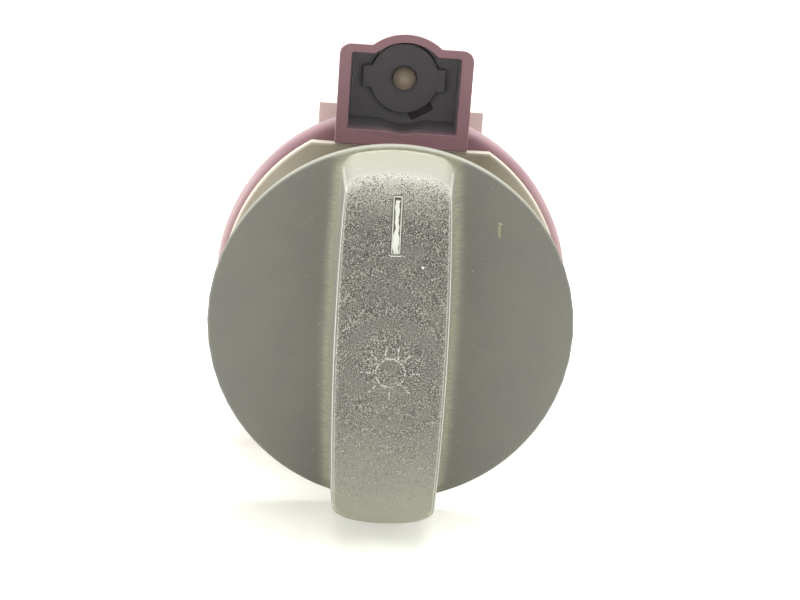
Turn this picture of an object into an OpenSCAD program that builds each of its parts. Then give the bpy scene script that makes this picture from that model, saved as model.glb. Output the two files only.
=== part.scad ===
// Rotary headlight switch for a dashboard: a knob with a finger bar turns a contact rotor
// in a round housing, and a lamp chamber on top lights the symbols of the trim panel.
// Every piece is drawn with x to the right, y up and z out at the driver, and in_car()
// then stands it up, so that the driver looks along +Y and +Z is up.
// The origin lies on the knob's axis, where the trim panel meets the front plate.

/* [Knob] */
// Diameter of the knob's disc
knob_d = 45; // [42:0.5:46]
// Thickness of the disc at its rim
rim_t = 1.65; // [1.4:0.05:2.4]
// Rounding of the disc's front edge
rim_round = 0.45; // [0.2:0.05:0.6]
// Distance from the trim panel's back to the front of the disc
knob_standoff = 18.5; // [17.5:0.5:24]
// Outer diameter of the hub that grips the spindle
hub_d = 11; // [10:0.5:13]
// Gap between the hub and the end of the neck
hub_gap = 1.5; // [1.2:0.1:2.5]
// How far the knob sits off its upright mark, in degrees, from play in its seat
knob_set_a = 1.3; // [0:0.1:3]

/* [Finger bar] */
// Width of the bar's face at its middle
bar_w = 13; // [11:0.25:15]
// Height of the bar's face above the disc at its middle
bar_h = 14; // [12:0.25:16]
// Radius of the crown along the bar's face
bar_crown_r = 140; // [90:5:300]
// Radius of the bar's bellied sides, seen from the front
bar_side_r = 350; // [200:10:600]
// Draft of the bar's sides and ends, in degrees
bar_draft = 3.5; // [1:0.5:6]
// How far the bar's ends stay inside the disc's edge
bar_end_inset = 0.4; // [0.2:0.1:1.5]
// Rounding between the bar's face and its ends
bar_end_round = 2.6; // [1.5:0.1:4]
// Rounding of the bar's corners, seen from the front
bar_corner_r = 2.2; // [1.2:0.1:3.5]
// Height and width of the flare where the bar meets the disc
bar_root = 1.2; // [0.6:0.1:2]
// Wall of the hollow bar
bar_wall = 1.8; // [1.5:0.1:2.4]
// Thickness of the ribs inside the knob
rib_t = 1.2; // [0.8:0.1:1.8]

/* [Pointer] */
// Width of the pointer's slot
pointer_w = 1.15; // [0.8:0.05:1.6]
// Length of the pointer's slot
pointer_len = 6.8; // [5:0.2:8]
// Distance from the edge of the disc to the middle of the slot
pointer_edge = 6.8; // [6:0.1:8]
// Depth of the slot
pointer_depth = 1.1; // [0.7:0.05:1.3]
// How far the white inlay lies below the bar's face
pointer_sink = 0.45; // [0.2:0.05:0.6]

/* [Spindle] */
// Diameter of the steel spindle
spindle_d = 6; // [5:0.25:6.5]
// Depth of the flat that keys the knob
flat_depth = 0.8; // [0.5:0.1:1]
// Length of the spindle inside the knob
knob_grip = 13; // [10:0.5:14]
// Radial clearance of the turning fits
run_gap = 0.05; // [0.02:0.01:0.08]
// Radial clearance of pieces pushed together
fit_gap = 0.05; // [0.02:0.01:0.1]

/* [Neck and nut] */
// Diameter of the neck that passes through the trim panel
neck_d = 14; // [12:0.5:16]
// Length of the neck
neck_len = 10; // [9.5:0.5:12]
// Thickness of the trim panel that the nut clamps
panel_t = 3; // [2.5:0.25:4]
// Thickness of the toothed washer
washer_t = 0.8; // [0.6:0.1:1]
// Thickness of the nut
nut_t = 4; // [3:0.25:4.5]
// Width of the nut across its flats
nut_af = 19; // [18.5:0.5:22]
// Outer diameter of the spindle's bush
bush_d = 10; // [9:0.25:10.5]

/* [Front plate] */
// Diameter of the front plate
plate_d = 44.9; // [44:0.1:45.5]
// Thickness of the front plate in front of the flange
plate_t = 1.9; // [1.5:0.1:2.5]
// Height of the plate's straight top edge above the axis
plate_top = 19.2; // [18.6:0.1:19.4]
// Depth of the plate's spigot in the housing
spigot_depth = 2.5; // [2:0.1:2.8]
// Chamfer round the plate's front edge
plate_chamfer = 0.3; // [0.1:0.05:0.6]

/* [Housing] */
// Diameter of the flange
flange_d = 47; // [46.5:0.25:49]
// Thickness of the flange
flange_t = 4; // [3.5:0.25:5]
// Rounding of the flange's front edge
flange_round = 1.4; // [0.8:0.1:1.8]
// Outer diameter of the round housing behind the flange
cup_d = 41; // [40.5:0.25:42]
// Wall of the round housing
cup_wall = 2; // [1.8:0.1:2.2]
// Distance from the trim panel's back to the rear end of the housing
cup_depth = 20; // [20:0.25:24]

/* [Light chamber] */
// Width of the light chamber
chamber_w = 17.3; // [16.5:0.1:18]
// Wall of the light chamber at its sides
chamber_wall = 1.55; // [1.2:0.05:1.7]
// Wall of the light chamber at its roof
chamber_roof = 1.1; // [0.9:0.05:1.2]
// Wall between the chamber's floor and the round cup
floor_wall = 0.7; // [0.6:0.1:1]
// Height of the chamber's shoulders above its floor
chamber_h = 11; // [10.5:0.1:11.8]
// Height of the lamp above the chamber's floor
lamp_rise = 5.6; // [5.3:0.1:5.8]
// Outer radius of the dome round the lamp
dome_r = 7; // [6.8:0.1:7.4]
// Depth of the chamber, with its rear wall
chamber_depth = 13.5; // [13:0.25:15]
// Rounding of the chamber's shoulders
shoulder_r = 1.5; // [0.8:0.1:2]
// Radius of the round groove in the chamber's floor, about the lamp
groove_round = 6.3; // [5.8:0.1:6.4]
// Distance from the chamber's open front to the groove
groove_front = 3; // [2:0.25:6]

/* [Rear block] */
// Width of the block on top of the housing's rear end
block_w = 22.8; // [21:0.2:24]
// Height of that block above the round cup
block_rise = 1.8; // [1.5:0.1:2.5]
// Length of that block
block_len = 5; // [3:0.5:6]

/* [Lamp] */
// Diameter of the glass capsule
lamp_d = 3.2; // [3:0.1:3.6]
// Distance from the trim panel's back to the lamp's tip
lamp_tip = 8.9; // [8:0.1:9.5]
// Diameter of the hole that takes the lamp holder
socket_d = 9.4; // [9:0.1:9.6]
// How far the holder's lugs reach past its barrel
lug_reach = 0.9; // [0.6:0.05:0.95]
// Width of the holder's lugs
lug_w = 3; // [2:0.25:4]
// Turn that frees the lamp holder, in degrees
holder_turn = 60; // [50:5:70]

/* [Rotor and contacts] */
// Gap between the rotor's drum and the bosses of the base's screws
drum_gap = 0.8; // [0.5:0.1:1.2]
// Distance from the rotor's rear face to the base
rotor_gap = 1; // [0.9:0.1:1.3]
// Thickness of the detent star
star_t = 3; // [2.5:0.25:3.5]
// Diameter across the tips of the detent star
star_d = 20; // [18:0.5:21]
// Turn between two notches of the star, in degrees
notch_step = 45; // [45:15:60]
// Turn from the first position to the last, in degrees
full_turn = 90; // [60:5:90]
// Radius of the circle of contact pads
pad_circle_r = 10.5; // [10.2:0.1:10.9]
// Diameter of a contact pad
pad_d = 3; // [2.4:0.2:3.4]
// Width of a contact bridge
bridge_w = 2.4; // [2:0.2:2.8]
// Thickness of a contact bridge
bridge_t = 0.5; // [0.4:0.05:0.6]
// Outer diameter of a contact spring
coil_d = 3.4; // [3:0.1:3.8]
// Wire of a contact spring
coil_wire = 0.4; // [0.3:0.05:0.5]

/* [Base and connector] */
// Thickness of the base's plug inside the housing
plug_t = 4; // [3.8:0.1:4.2]
// Thickness of the base's flange behind the housing
base_t = 2; // [1.8:0.1:2.5]
// Width of the connector's shroud
shroud_w = 30; // [29:0.5:32]
// Height of the connector's shroud
shroud_h = 18; // [17:0.5:20]
// Depth of the shroud behind the base
shroud_len = 14; // [12:0.5:16]
// Wall of the shroud
shroud_wall = 1.5; // [1.2:0.1:1.8]
// Distance between the blades of a row
blade_pitch = 6; // [5.5:0.1:6.4]
// Distance between the two rows of blades
row_gap = 8; // [7.6:0.2:9]
// Width of a blade
blade_w = 2.8; // [2.4:0.1:3]
// Thickness of a blade
blade_t = 0.8; // [0.6:0.1:1]
// Length of a blade behind the base
blade_len = 10; // [8:0.5:11]
// Diameter of the base's screws
screw_d = 2.5; // [2:0.1:2.6]

/* [Hidden] */
$fn = 96;

// Colours
knob_black = [0.20, 0.20, 0.19];
plate_black = [0.26, 0.25, 0.22];
burgundy = [0.36, 0.16, 0.20];
base_black = [0.13, 0.13, 0.14];
acetal = [0.86, 0.84, 0.76];
brass = [0.78, 0.62, 0.30];
steel = [0.70, 0.71, 0.73];
white = [0.93, 0.93, 0.90];
glass = [0.85, 0.82, 0.74];

// A cut runs this much past the surface it goes through
over = 1;
// Air between pieces that pass each other
slip = 0.3;

// Knob
knob_r = knob_d / 2;
pointer_pos = knob_r - pointer_edge;
disc_back = knob_standoff - rim_t;
hub_back = neck_len + hub_gap;
bar_foot_r = knob_r - bar_end_inset;
bar_end_r = bar_foot_r - (bar_h - bar_end_round) * tan(bar_draft);
bore_r = spindle_d / 2 + fit_gap;
flat_y = spindle_d / 2 - flat_depth;
clip_t = 0.8;
clip_z = hub_back + 1;
gusset_h = 2.4;
gusset_r = 0.72 * knob_r;
rib_places = [10.5, 16];

// Spindle, with distances from the trim panel's back
ring_t = 0.7;
ring_z = neck_len + 0.2;
ring_r = bush_d / 2;
groove_r = spindle_d / 2 - 0.5;
pivot_depth = 3;
tooth_count = 16;
neck_wall = (neck_d - bush_d) / 2 + over;

// Housing, from the front to the rear
flange_back = plate_t + flange_t;
cup_r = cup_d / 2;
cavity_r = cup_r - cup_wall;
chamber_floor = cup_r + floor_wall;
chamber_top = chamber_floor + chamber_h;
lamp_height = chamber_floor + lamp_rise;
base_front = cup_depth - plug_t;
base_back = cup_depth + base_t;

// Bosses of the base's screws, inside the housing
boss_r = 2;
screw_ring_r = cavity_r - boss_r + slip;
block_top = cup_r + block_rise;

// Rotor
star_r = star_d / 2;
drum_r = screw_ring_r - boss_r - drum_gap;
rotor_back = base_front - rotor_gap;
bush_back = plate_t + spigot_depth + slip;
rotor_front = bush_back + slip;
star_back = rotor_front + star_t;
notch_r = 1.5;
nose_r = notch_r - slip;
leaf_t = 0.4;
leaf_y = star_r + 4 * slip;
leaf_half = 13.2;
leaf_post_h = 3.6;
lug_t = 3;
lug_front = star_back + over;
lug_len = 2.6;
lug_back = lug_front + lug_len;
lug_top_r = cavity_r - 4 * slip;
stop_a = 12;
stop_gap = 2;
stop_r = drum_r + stop_gap;

// Contacts
pad_proud = 0.35;
pad_a = 22.5;
bridge_half = pad_circle_r * sin(pad_a);
bridge_r = pad_circle_r * cos(pad_a);
bridge_at = [2 * pad_a, 180, 270];
bridge_seat = rotor_back - bridge_t - 0.1;
bridge_end = 1.1;
bump_r = 0.9;
coil_seat = bridge_seat - 4;
coil_turns = 5;
strap_w = 1.6;
shank_r = 0.6;
strap_front = base_front + plug_t / 2;

// Lamp and its holder
socket_r = socket_d / 2;
holder_r = socket_r - run_gap;
wall_front = chamber_depth - chamber_wall;
strip_t = 0.4;
strip_w = 1.2;
strip_x = 5.5;
strip_y = cup_r + slip;
strip_seat = 1.5;
channel_half = strip_x + strip_w / 2 + slip;
channel_floor = strip_y - slip - fit_gap;
contact_len = 4;
holder_flange_r = 6;
holder_flange_t = 1.5;
flange_front = chamber_depth + strip_t + run_gap;
flange_end = flange_front + holder_flange_t;
grip_len = 3.8;
grip_w = 2.2;
lug_axial = 1;
contact_t = 0.3;

// Base
screw_places = [55, 125, 235, 305];
screw_head_r = 2.3;
screw_head_t = 1.6;
recess_w = 0.6;
screw_grip = 4;
latch_w = 7;
latch_h = 1.3;
latch_ramp = 4;
latch_land = 1;
latch_back = 7;

// Stands a piece up from the driver's view: x stays, y becomes up and z comes out at -Y
module in_car() {
    rotate([90, 0, 0]) children();
}

// A cylinder along z between two distances behind the trim panel
module rod(r, front, back) {
    translate([0, 0, -back]) cylinder(r = r, h = back - front);
}

// A box along z, centred on x and y, between two distances behind the trim panel
module block(w, h, front, back) {
    translate([-w / 2, -h / 2, -back]) cube([w, h, back - front]);
}

// Points on an arc of radius r round c, from angle a to angle b
function arc(c, r, a, b, n = 8) = [
    for (i = [0:n]) c + r * [cos(a + (b - a) * i / n), sin(a + (b - a) * i / n)]
];

// The crowned body that the bar is cut from: the face is a crown, and its edge is rounded
// into the end wall. The inset gives the same body inside a wall, open at the back.
module bar_crown(inset = 0) {
    foot = disc_back - (inset > 0 ? over : 0);
    crown = bar_crown_r - inset;
    round_r = max(bar_end_round - inset, 0.4);
    end_r = bar_end_r - inset;
    crown_z = knob_standoff + bar_h - bar_crown_r;
    c = [end_r - round_r, crown_z + sqrt(pow(crown - round_r, 2) - pow(end_r - round_r, 2))];
    meet_a = atan2(c[1] - crown_z, c[0]);
    rotate_extrude() polygon(concat(
        [[0, foot], [bar_foot_r - inset, foot]],
        arc(c, round_r, 0, meet_a),
        arc([0, crown_z], crown, meet_a, 90, 12)
    ));
}

// The bar seen from the front, with rounded corners where the sides meet the ends
module bar_plan(inset = 0) {
    r = bar_foot_r - inset;
    corner = max(bar_corner_r - inset, 0.4);
    half = bar_w / 2 + (bar_h + rim_t) * tan(bar_draft) - inset;
    c = [half - corner, sqrt(pow(r - corner, 2) - pow(half - corner, 2))];
    turn_a = atan2(c[1], c[0]);
    quarter = concat(arc(c, corner, 0, turn_a), arc([0, 0], r, turn_a, 90, 6));
    for (k = [0, 1], j = [0, 1]) mirror([0, k, 0]) mirror([j, 0, 0])
        polygon(concat([[-over, -over], [half, -over]], quarter, [[-over, r]]));
}

// One bellied side of the bar: a wide cone whose slope is the draft
module bar_side(inset = 0) {
    foot = disc_back - over;
    top = knob_standoff + bar_h;
    r = bar_side_r - inset;
    translate([bar_w / 2 - bar_side_r, 0, foot])
        cylinder(r1 = r + (top - foot) * tan(bar_draft), r2 = r, h = top - foot, $fn = 360);
}

// The whole finger bar, or the space inside its wall
module bar_form(inset = 0) {
    intersection() {
        bar_crown(inset);
        translate([0, 0, disc_back - over]) linear_extrude(bar_h + rim_t + over) bar_plan(inset);
        bar_side(inset);
        mirror([1, 0, 0]) bar_side(inset);
    }
}

// The flare where the sides of the bar meet the disc, at 45 degrees
module bar_root_form() {
    height = rim_t + bar_root;
    r = bar_side_r + (bar_h - bar_root) * tan(bar_draft);
    intersection() {
        translate([0, 0, disc_back]) cylinder(r = bar_foot_r, h = height);
        translate([bar_w / 2 - bar_side_r, 0, disc_back])
            cylinder(r1 = r + height, r2 = r, h = height, $fn = 360);
        translate([bar_side_r - bar_w / 2, 0, disc_back])
            cylinder(r1 = r + height, r2 = r, h = height, $fn = 360);
    }
}

// The disc, with a small rounding at its front edge
module knob_disc() {
    rotate_extrude() polygon(concat(
        [[0, disc_back], [knob_r, disc_back]],
        arc([knob_r - rim_round, knob_standoff - rim_round], rim_round, 0, 90, 6),
        [[0, knob_standoff]]
    ));
}

// The hub that grips the spindle, up to the wall of the bar's face
module knob_hub() {
    translate([0, 0, hub_back])
        cylinder(r = hub_d / 2, h = knob_standoff + bar_h - bar_wall / 2 - hub_back);
}

// The walls that stay inside the hollow bar: one along it and two pairs across it
module knob_ribs() {
    height = knob_standoff + bar_h;
    translate([-rib_t / 2, -knob_r, 0]) cube([rib_t, knob_d, height]);
    for (y = rib_places, j = [-1, 1])
        translate([-knob_r, j * y - rib_t / 2, 0]) cube([knob_d, rib_t, height]);
}

// The pointer's slot, or the inlay in it: both follow the crown of the bar
module pointer_form(gap, sink) {
    intersection() {
        difference() {
            bar_crown(sink);
            bar_crown(pointer_depth);
        }
        translate([gap - pointer_w / 2, pointer_pos - pointer_len / 2 + gap, knob_standoff])
            cube([pointer_w - 2 * gap, pointer_len - 2 * gap, bar_h + over]);
    }
}

// The ring of spring wire round the hub, or the groove that it sits in
module clip_ring(gap, outer_r) {
    difference() {
        translate([0, 0, clip_z - gap]) cylinder(r = outer_r, h = clip_t + 2 * gap);
        translate([0, 0, clip_z - over])
            cylinder(r = hub_d / 2 - clip_t + fit_gap - gap, h = clip_t + 2 * over);
    }
}

// Moulded knob: disc, hollow finger bar with ribs inside, and a hub keyed to the spindle
module knob() {
    color(knob_black) in_car() rotate([0, 0, knob_set_a]) difference() {
        union() {
            difference() {
                union() {
                    knob_disc();
                    bar_form();
                    bar_root_form();
                }
                difference() {
                    bar_form(bar_wall);
                    knob_ribs();
                }
            }
            knob_hub();
            for (i = [0:5]) rotate([0, 0, 30 + 60 * i])
                translate([0, -rib_t / 2, disc_back - gusset_h])
                    cube([gusset_r, rib_t, gusset_h + rim_t / 2]);
        }
        intersection() {
            translate([0, 0, hub_back - over]) cylinder(r = bore_r, h = knob_grip + 2 * over);
            translate([-knob_r, -knob_r, 0]) cube([knob_d, knob_r + flat_y + fit_gap, knob_d]);
        }
        clip_ring(fit_gap, hub_d / 2 + over);
        pointer_form(0, 0);
    }
}

// White inlay pushed into the slot of the bar, a little below its face
module pointer_inlay() {
    color(white) in_car() rotate([0, 0, knob_set_a]) pointer_form(fit_gap, pointer_sink);
}

// Open ring of spring steel that squeezes the hub on the spindle
module knob_clip() {
    color(steel) in_car() rotate([0, 0, knob_set_a]) difference() {
        clip_ring(0, hub_d / 2 + clip_t / 2);
        translate([-clip_t, -knob_r, 0]) cube([2 * clip_t, knob_r, knob_standoff]);
    }
}

// Steel spindle: keyed to the knob in front, pressed in the rotor, turning in the base behind
module spindle() {
    color(steel) in_car() rotate([0, 0, knob_set_a]) difference() {
        rod(spindle_d / 2, -(hub_back + knob_grip), base_front + pivot_depth);
        translate([-spindle_d / 2, flat_y, hub_back]) cube([spindle_d, spindle_d, knob_grip + over]);
        difference() {
            translate([0, 0, ring_z]) cylinder(r = spindle_d, h = ring_t);
            translate([0, 0, ring_z - over]) cylinder(r = groove_r, h = ring_t + 2 * over);
        }
    }
}

// Open retaining ring that keeps the spindle from pulling out of the neck
module retaining_ring() {
    gap = fit_gap;
    color(steel) in_car() difference() {
        translate([0, 0, ring_z + gap]) cylinder(r = ring_r, h = ring_t - 2 * gap);
        translate([0, 0, ring_z - over]) cylinder(r = groove_r + gap, h = ring_t + 2 * over);
        translate([-0.8 * groove_r, -ring_r - over, ring_z - over])
            cube([1.6 * groove_r, ring_r + over, ring_t + 2 * over]);
    }
}

// Hexagon nut that clamps the trim panel against the front plate
module mounting_nut() {
    back = panel_t + washer_t;
    color(brass) in_car() difference() {
        intersection() {
            translate([0, 0, back]) cylinder(d = nut_af / cos(30), h = nut_t, $fn = 6);
            translate([0, 0, back]) cylinder(r1 = nut_af / 2 + nut_t, r2 = nut_af / 2, h = nut_t);
        }
        translate([0, 0, panel_t]) cylinder(r = neck_d / 2 + run_gap, h = nut_t + washer_t + over);
    }
}

// Washer with teeth cut in its rim, under the nut
module lock_washer() {
    rim_r = nut_af / 2 + over;
    color(steel) in_car() difference() {
        translate([0, 0, panel_t]) cylinder(r = rim_r, h = washer_t - run_gap);
        translate([0, 0, panel_t - over])
            cylinder(r = neck_d / 2 + 2 * run_gap, h = washer_t + 2 * over);
        for (i = [0:tooth_count - 1]) rotate([0, 0, i * 360 / tooth_count])
            translate([rim_r - over, -0.5, panel_t - over]) cube([2 * over, 1, washer_t + 2 * over]);
    }
}

// The disc of the front plate, with its chamfered edge
module plate_disc() {
    r = plate_d / 2;
    rotate_extrude() polygon([
        [0, -plate_t], [r, -plate_t], [r, -plate_chamfer], [r - plate_chamfer, 0], [0, 0],
    ]);
}

// What the straight top edge leaves of the disc, with the same chamfer
module plate_top_cut() {
    low = plate_top - flange_d;
    translate([-flange_d / 2, 0, 0]) rotate([90, 0, 90]) linear_extrude(flange_d) polygon([
        [low, -plate_t], [plate_top, -plate_t], [plate_top, -plate_chamfer],
        [plate_top - plate_chamfer, 0], [low, 0],
    ]);
}

// Front plate: a disc with a straight top edge, the threaded neck and a spigot in the housing
module front_plate() {
    spigot_back = plate_t + spigot_depth;
    color(plate_black) in_car() difference() {
        union() {
            intersection() {
                plate_disc();
                plate_top_cut();
            }
            rod(neck_d / 2, -neck_len, plate_t);
            rod(bush_d / 2 + neck_wall, plate_t / 2, spigot_back);
            difference() {
                rod(cavity_r - fit_gap, plate_t / 2, spigot_back);
                rod(cavity_r - cup_wall, plate_t, spigot_back + over);
            }
        }
        rod(bush_d / 2 + fit_gap, -neck_len - over, spigot_back + over);
    }
}

// Sintered bush that the spindle turns in, pressed into the neck
module spindle_bush() {
    color(brass) in_car() difference() {
        rod(bush_d / 2, -neck_len, bush_back);
        rod(spindle_d / 2 + run_gap, -neck_len - over, bush_back + over);
    }
}

// The light chamber seen from the front: a box with round shoulders, and a dome round the lamp
module chamber_outline(wall, roof, low, corner) {
    half = chamber_w / 2 - wall;
    top = chamber_top - roof;
    polygon(concat(
        [[-half, low], [half, low]],
        arc([half - corner, top - corner], corner, 0, 90, 6),
        arc([corner - half, top - corner], corner, 90, 180, 6)
    ));
    translate([0, lamp_height]) circle(r = dome_r - roof);
}

// The flange and the round cup of the housing, still solid
module housing_round() {
    rotate_extrude() polygon(concat(
        [
            [0, -cup_depth],
            [cup_r, -cup_depth],
            [cup_r, -flange_back],
            [flange_d / 2, -flange_back],
        ],
        arc([flange_d / 2 - flange_round, -plate_t - flange_round], flange_round, 0, 90, 6),
        [[0, -plate_t]]
    ));
}

// Burgundy housing: flange, round cup and the light chamber on top, all one moulding
module housing() {
    color(burgundy) in_car() {
        difference() {
            union() {
                housing_round();
                translate([0, 0, -chamber_depth]) linear_extrude(chamber_depth)
                    chamber_outline(0, 0, plate_top + fit_gap, shoulder_r);
                translate([-chamber_w / 2, cavity_r - over, -chamber_depth])
                    cube([chamber_w, chamber_floor - cavity_r, chamber_depth - plate_t]);
                translate([-block_w / 2, 0, -cup_depth]) cube([block_w, block_top, block_len]);
            }
            translate([-channel_half, channel_floor, -cup_depth - over])
                cube([2 * channel_half, block_top, cup_depth + over - chamber_depth - strip_t]);
            translate([0, 0, -wall_front]) linear_extrude(wall_front + over)
                chamber_outline(chamber_wall, chamber_roof, chamber_floor, 0.4);
            translate([0, lamp_height, 0]) {
                rod(groove_round, groove_front, wall_front);
                rod(socket_r, wall_front - over, chamber_depth + over);
                rotate([0, 0, -holder_turn]) block(
                    2 * (socket_r + lug_reach + run_gap), lug_w + slip,
                    wall_front - over, chamber_depth + over
                );
            }
            rod(cavity_r, plate_t - over, cup_depth + over);
        }
        for (a = screw_places) rotate([0, 0, a]) screw_boss();
        for (a = [90 + stop_a, 90 - full_turn - stop_a]) rotate([0, 0, a]) turn_stop();
        for (j = [0, 1]) mirror([j, 0, 0]) leaf_post();
    }
}

// Boss inside the cup that takes a screw of the base
module screw_boss() {
    difference() {
        intersection() {
            union() {
                translate([screw_ring_r, 0, 0]) rod(boss_r, base_front - screw_grip, base_front);
                translate([screw_ring_r + boss_r, 0, 0])
                    block(2 * boss_r, 2 * boss_r, base_front - screw_grip, base_front);
            }
            rod(cavity_r + cup_wall / 2, base_front - screw_grip, base_front);
        }
        translate([screw_ring_r, 0, 0]) rod(screw_d / 2, base_front - screw_grip - over, base_front + over);
    }
}

// Stop inside the cup that the rotor's lug meets at an end of its turn
module turn_stop() {
    intersection() {
        translate([cavity_r, 0, 0]) block(2 * (cavity_r - stop_r), lug_t, lug_front, lug_back);
        rod(cavity_r + cup_wall / 2, lug_front, lug_back);
    }
}

// Post inside the cup with a slot that holds one end of the leaf spring
module leaf_post() {
    difference() {
        intersection() {
            translate([leaf_half - over, -leaf_y - 2 * leaf_post_h / 3, slip - star_back])
                cube([cavity_r, leaf_post_h, star_back - rotor_front]);
            rod(cavity_r + cup_wall / 2, 0, cup_depth);
        }
        translate([0, -leaf_y - leaf_t - fit_gap, -star_back])
            cube([leaf_half + fit_gap, leaf_t + 2 * fit_gap, star_back]);
    }
}

// Leaf spring with a bent nose that drops in the notches of the rotor's star
module detent_spring() {
    nose_y = -star_r;
    color(steel) in_car() translate([0, 0, slip - star_back]) linear_extrude(star_t - 2 * slip) {
        difference() {
            translate([0, nose_y]) circle(r = nose_r);
            translate([0, nose_y]) circle(r = nose_r - leaf_t);
            translate([-nose_r, nose_y - 2 * nose_r]) square([2 * nose_r, 2 * nose_r]);
        }
        for (j = [0, 1]) mirror([j, 0]) {
            translate([nose_r - leaf_t, -leaf_y - leaf_t]) square([leaf_t, leaf_y + leaf_t + nose_y]);
            translate([nose_r - leaf_t, -leaf_y - leaf_t]) square([leaf_half - nose_r + leaf_t, leaf_t]);
        }
    }
}

// Contact rotor: a notched star in front, a drum with three contact pockets behind, a stop lug
module rotor() {
    color(acetal) in_car() difference() {
        union() {
            difference() {
                rod(star_r, rotor_front, star_back + over);
                for (a = [0:notch_step:359]) rotate([0, 0, a - 90]) translate([star_r, 0, 0])
                    rod(notch_r, rotor_front - over, star_back);
            }
            rod(drum_r, star_back, rotor_back);
            rotate([0, 0, 90]) translate([lug_top_r / 2, 0, 0])
                block(lug_top_r, lug_t, lug_front, lug_back);
        }
        rod(spindle_d / 2 + fit_gap, rotor_front - over, rotor_back + over);
        for (a = bridge_at) rotate([0, 0, a]) translate([bridge_r, 0, 0]) {
            block(
                bridge_w + 2 * fit_gap, 2 * (bridge_half + bridge_end + fit_gap),
                bridge_seat - fit_gap, rotor_back + over
            );
            rod(coil_d / 2 + 2 * fit_gap, coil_seat, rotor_back + over);
        }
    }
}

// Brass bridge with a round contact at each end, joining two pads of the base
module contact_bridge(i) {
    color(brass) in_car() rotate([0, 0, bridge_at[i - 1]]) translate([bridge_r, 0, 0]) {
        block(bridge_w, 2 * (bridge_half + bridge_end), bridge_seat, bridge_seat + bridge_t);
        for (j = [-1, 1]) translate([0, j * bridge_half, 0])
            rod(bump_r, bridge_seat, base_front - pad_proud - run_gap);
    }
}

// Coil spring in a pocket of the rotor, pressing a bridge on its pads. The wire is swept
// along a helix about the pocket's axis, with a ring of points at each step.
module contact_spring(i) {
    steps = coil_turns * 12;
    sides = 6;
    mean_r = (coil_d - coil_wire) / 2;
    rise = bridge_seat - coil_seat - coil_wire - 4 * fit_gap;
    points = [
        for (s = [0:steps], k = [0:sides - 1])
            let (a = 360 * coil_turns * s / steps, b = 360 * k / sides, r = mean_r + coil_wire / 2 * cos(b))
                [r * cos(a), r * sin(a), rise * s / steps + coil_wire / 2 * sin(b)]
    ];
    sheet = [
        for (s = [0:steps - 1], k = [0:sides - 1])
            let (p = s * sides, q = (k + 1) % sides)
                each [[p + k, p + q, p + sides + q], [p + k, p + sides + q, p + sides + k]]
    ];
    ends = [
        [for (k = [0:sides - 1]) sides - 1 - k],
        [for (k = [0:sides - 1]) steps * sides + k],
    ];
    color(steel) in_car() rotate([0, 0, bridge_at[i - 1]])
        translate([bridge_r, 0, -bridge_seat + coil_wire / 2 + 2 * fit_gap])
            polyhedron(points, concat(sheet, ends));
}

// One terminal: a contact pad, a shank and a blade in the connector. A strap inside the base
// joins them where the pad does not stand in front of its blade.
module terminal_form(i, gap) {
    a = pad_a + 2 * pad_a * (i - 1);
    pad = pad_circle_r * [cos(a), sin(a)];
    blade = [
        sign(pad[0]) * (abs(pad[0]) > abs(pad[1]) ? 1.5 : 0.5) * blade_pitch,
        sign(pad[1]) * row_gap / 2,
    ];
    run = blade - pad;
    translate([pad[0], pad[1], 0]) {
        rod(pad_d / 2, base_front - pad_proud, base_front);
        rod(shank_r + gap, base_front - gap, strap_front + blade_t / 2);
        if (norm(run) > blade_w / 2) rotate([0, 0, atan2(run[1], run[0])])
            translate([-strap_w / 2 - gap, -strap_w / 2 - gap, -strap_front - blade_t - gap])
                cube([norm(run) + strap_w / 2 + gap, strap_w + 2 * gap, blade_t + 2 * gap]);
    }
    translate([blade[0], blade[1], 0])
        block(blade_w + 2 * gap, blade_t + 2 * gap, strap_front - gap, base_back + blade_len);
}

module terminal(i) {
    color(brass) in_car() terminal_form(i, 0);
}

// Black base that closes the housing: a plug, a flange, a block for the lamp strips and the
// shroud of the connector
module terminal_base() {
    color(base_black) in_car() difference() {
        union() {
            rod(cavity_r - fit_gap, base_front, base_back);
            rod(cup_r, cup_depth, base_back);
            translate([over - block_w / 2, 0, -base_back])
                cube([block_w - 2 * over, strip_y + strip_t + 2 * slip, base_t]);
            difference() {
                block(shroud_w, shroud_h, cup_depth, base_back + shroud_len);
                block(
                    shroud_w - 2 * shroud_wall, shroud_h - 2 * shroud_wall,
                    base_back, base_back + shroud_len + over
                );
            }
            latch_nose();
        }
        for (i = [1:8]) terminal_form(i, fit_gap);
        rod(spindle_d / 2 + run_gap, base_front - over, base_front + pivot_depth + slip);
        for (a = screw_places) rotate([0, 0, a]) translate([screw_ring_r, 0, 0])
            rod(screw_d / 2 + fit_gap, base_front - over, base_back + over);
        for (j = [-1, 1]) translate([j * strip_x, strip_y + strip_t / 2, 0])
            block(strip_w + 2 * fit_gap, strip_t + 2 * fit_gap, cup_depth - over, cup_depth + strip_seat);
    }
}

// Ramp on top of the shroud that the plug's latch snaps over
module latch_nose() {
    y = shroud_h / 2;
    z = base_back + shroud_len;
    translate([-latch_w / 2, 0, 0]) rotate([90, 0, 90]) linear_extrude(latch_w)
        polygon([
            [y - over, -z + latch_back - latch_land - latch_ramp],
            [y, -z + latch_back - latch_land - latch_ramp],
            [y + latch_h, -z + latch_back - latch_land],
            [y + latch_h, -z + latch_back],
            [y - over, -z + latch_back],
        ]);
}

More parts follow.
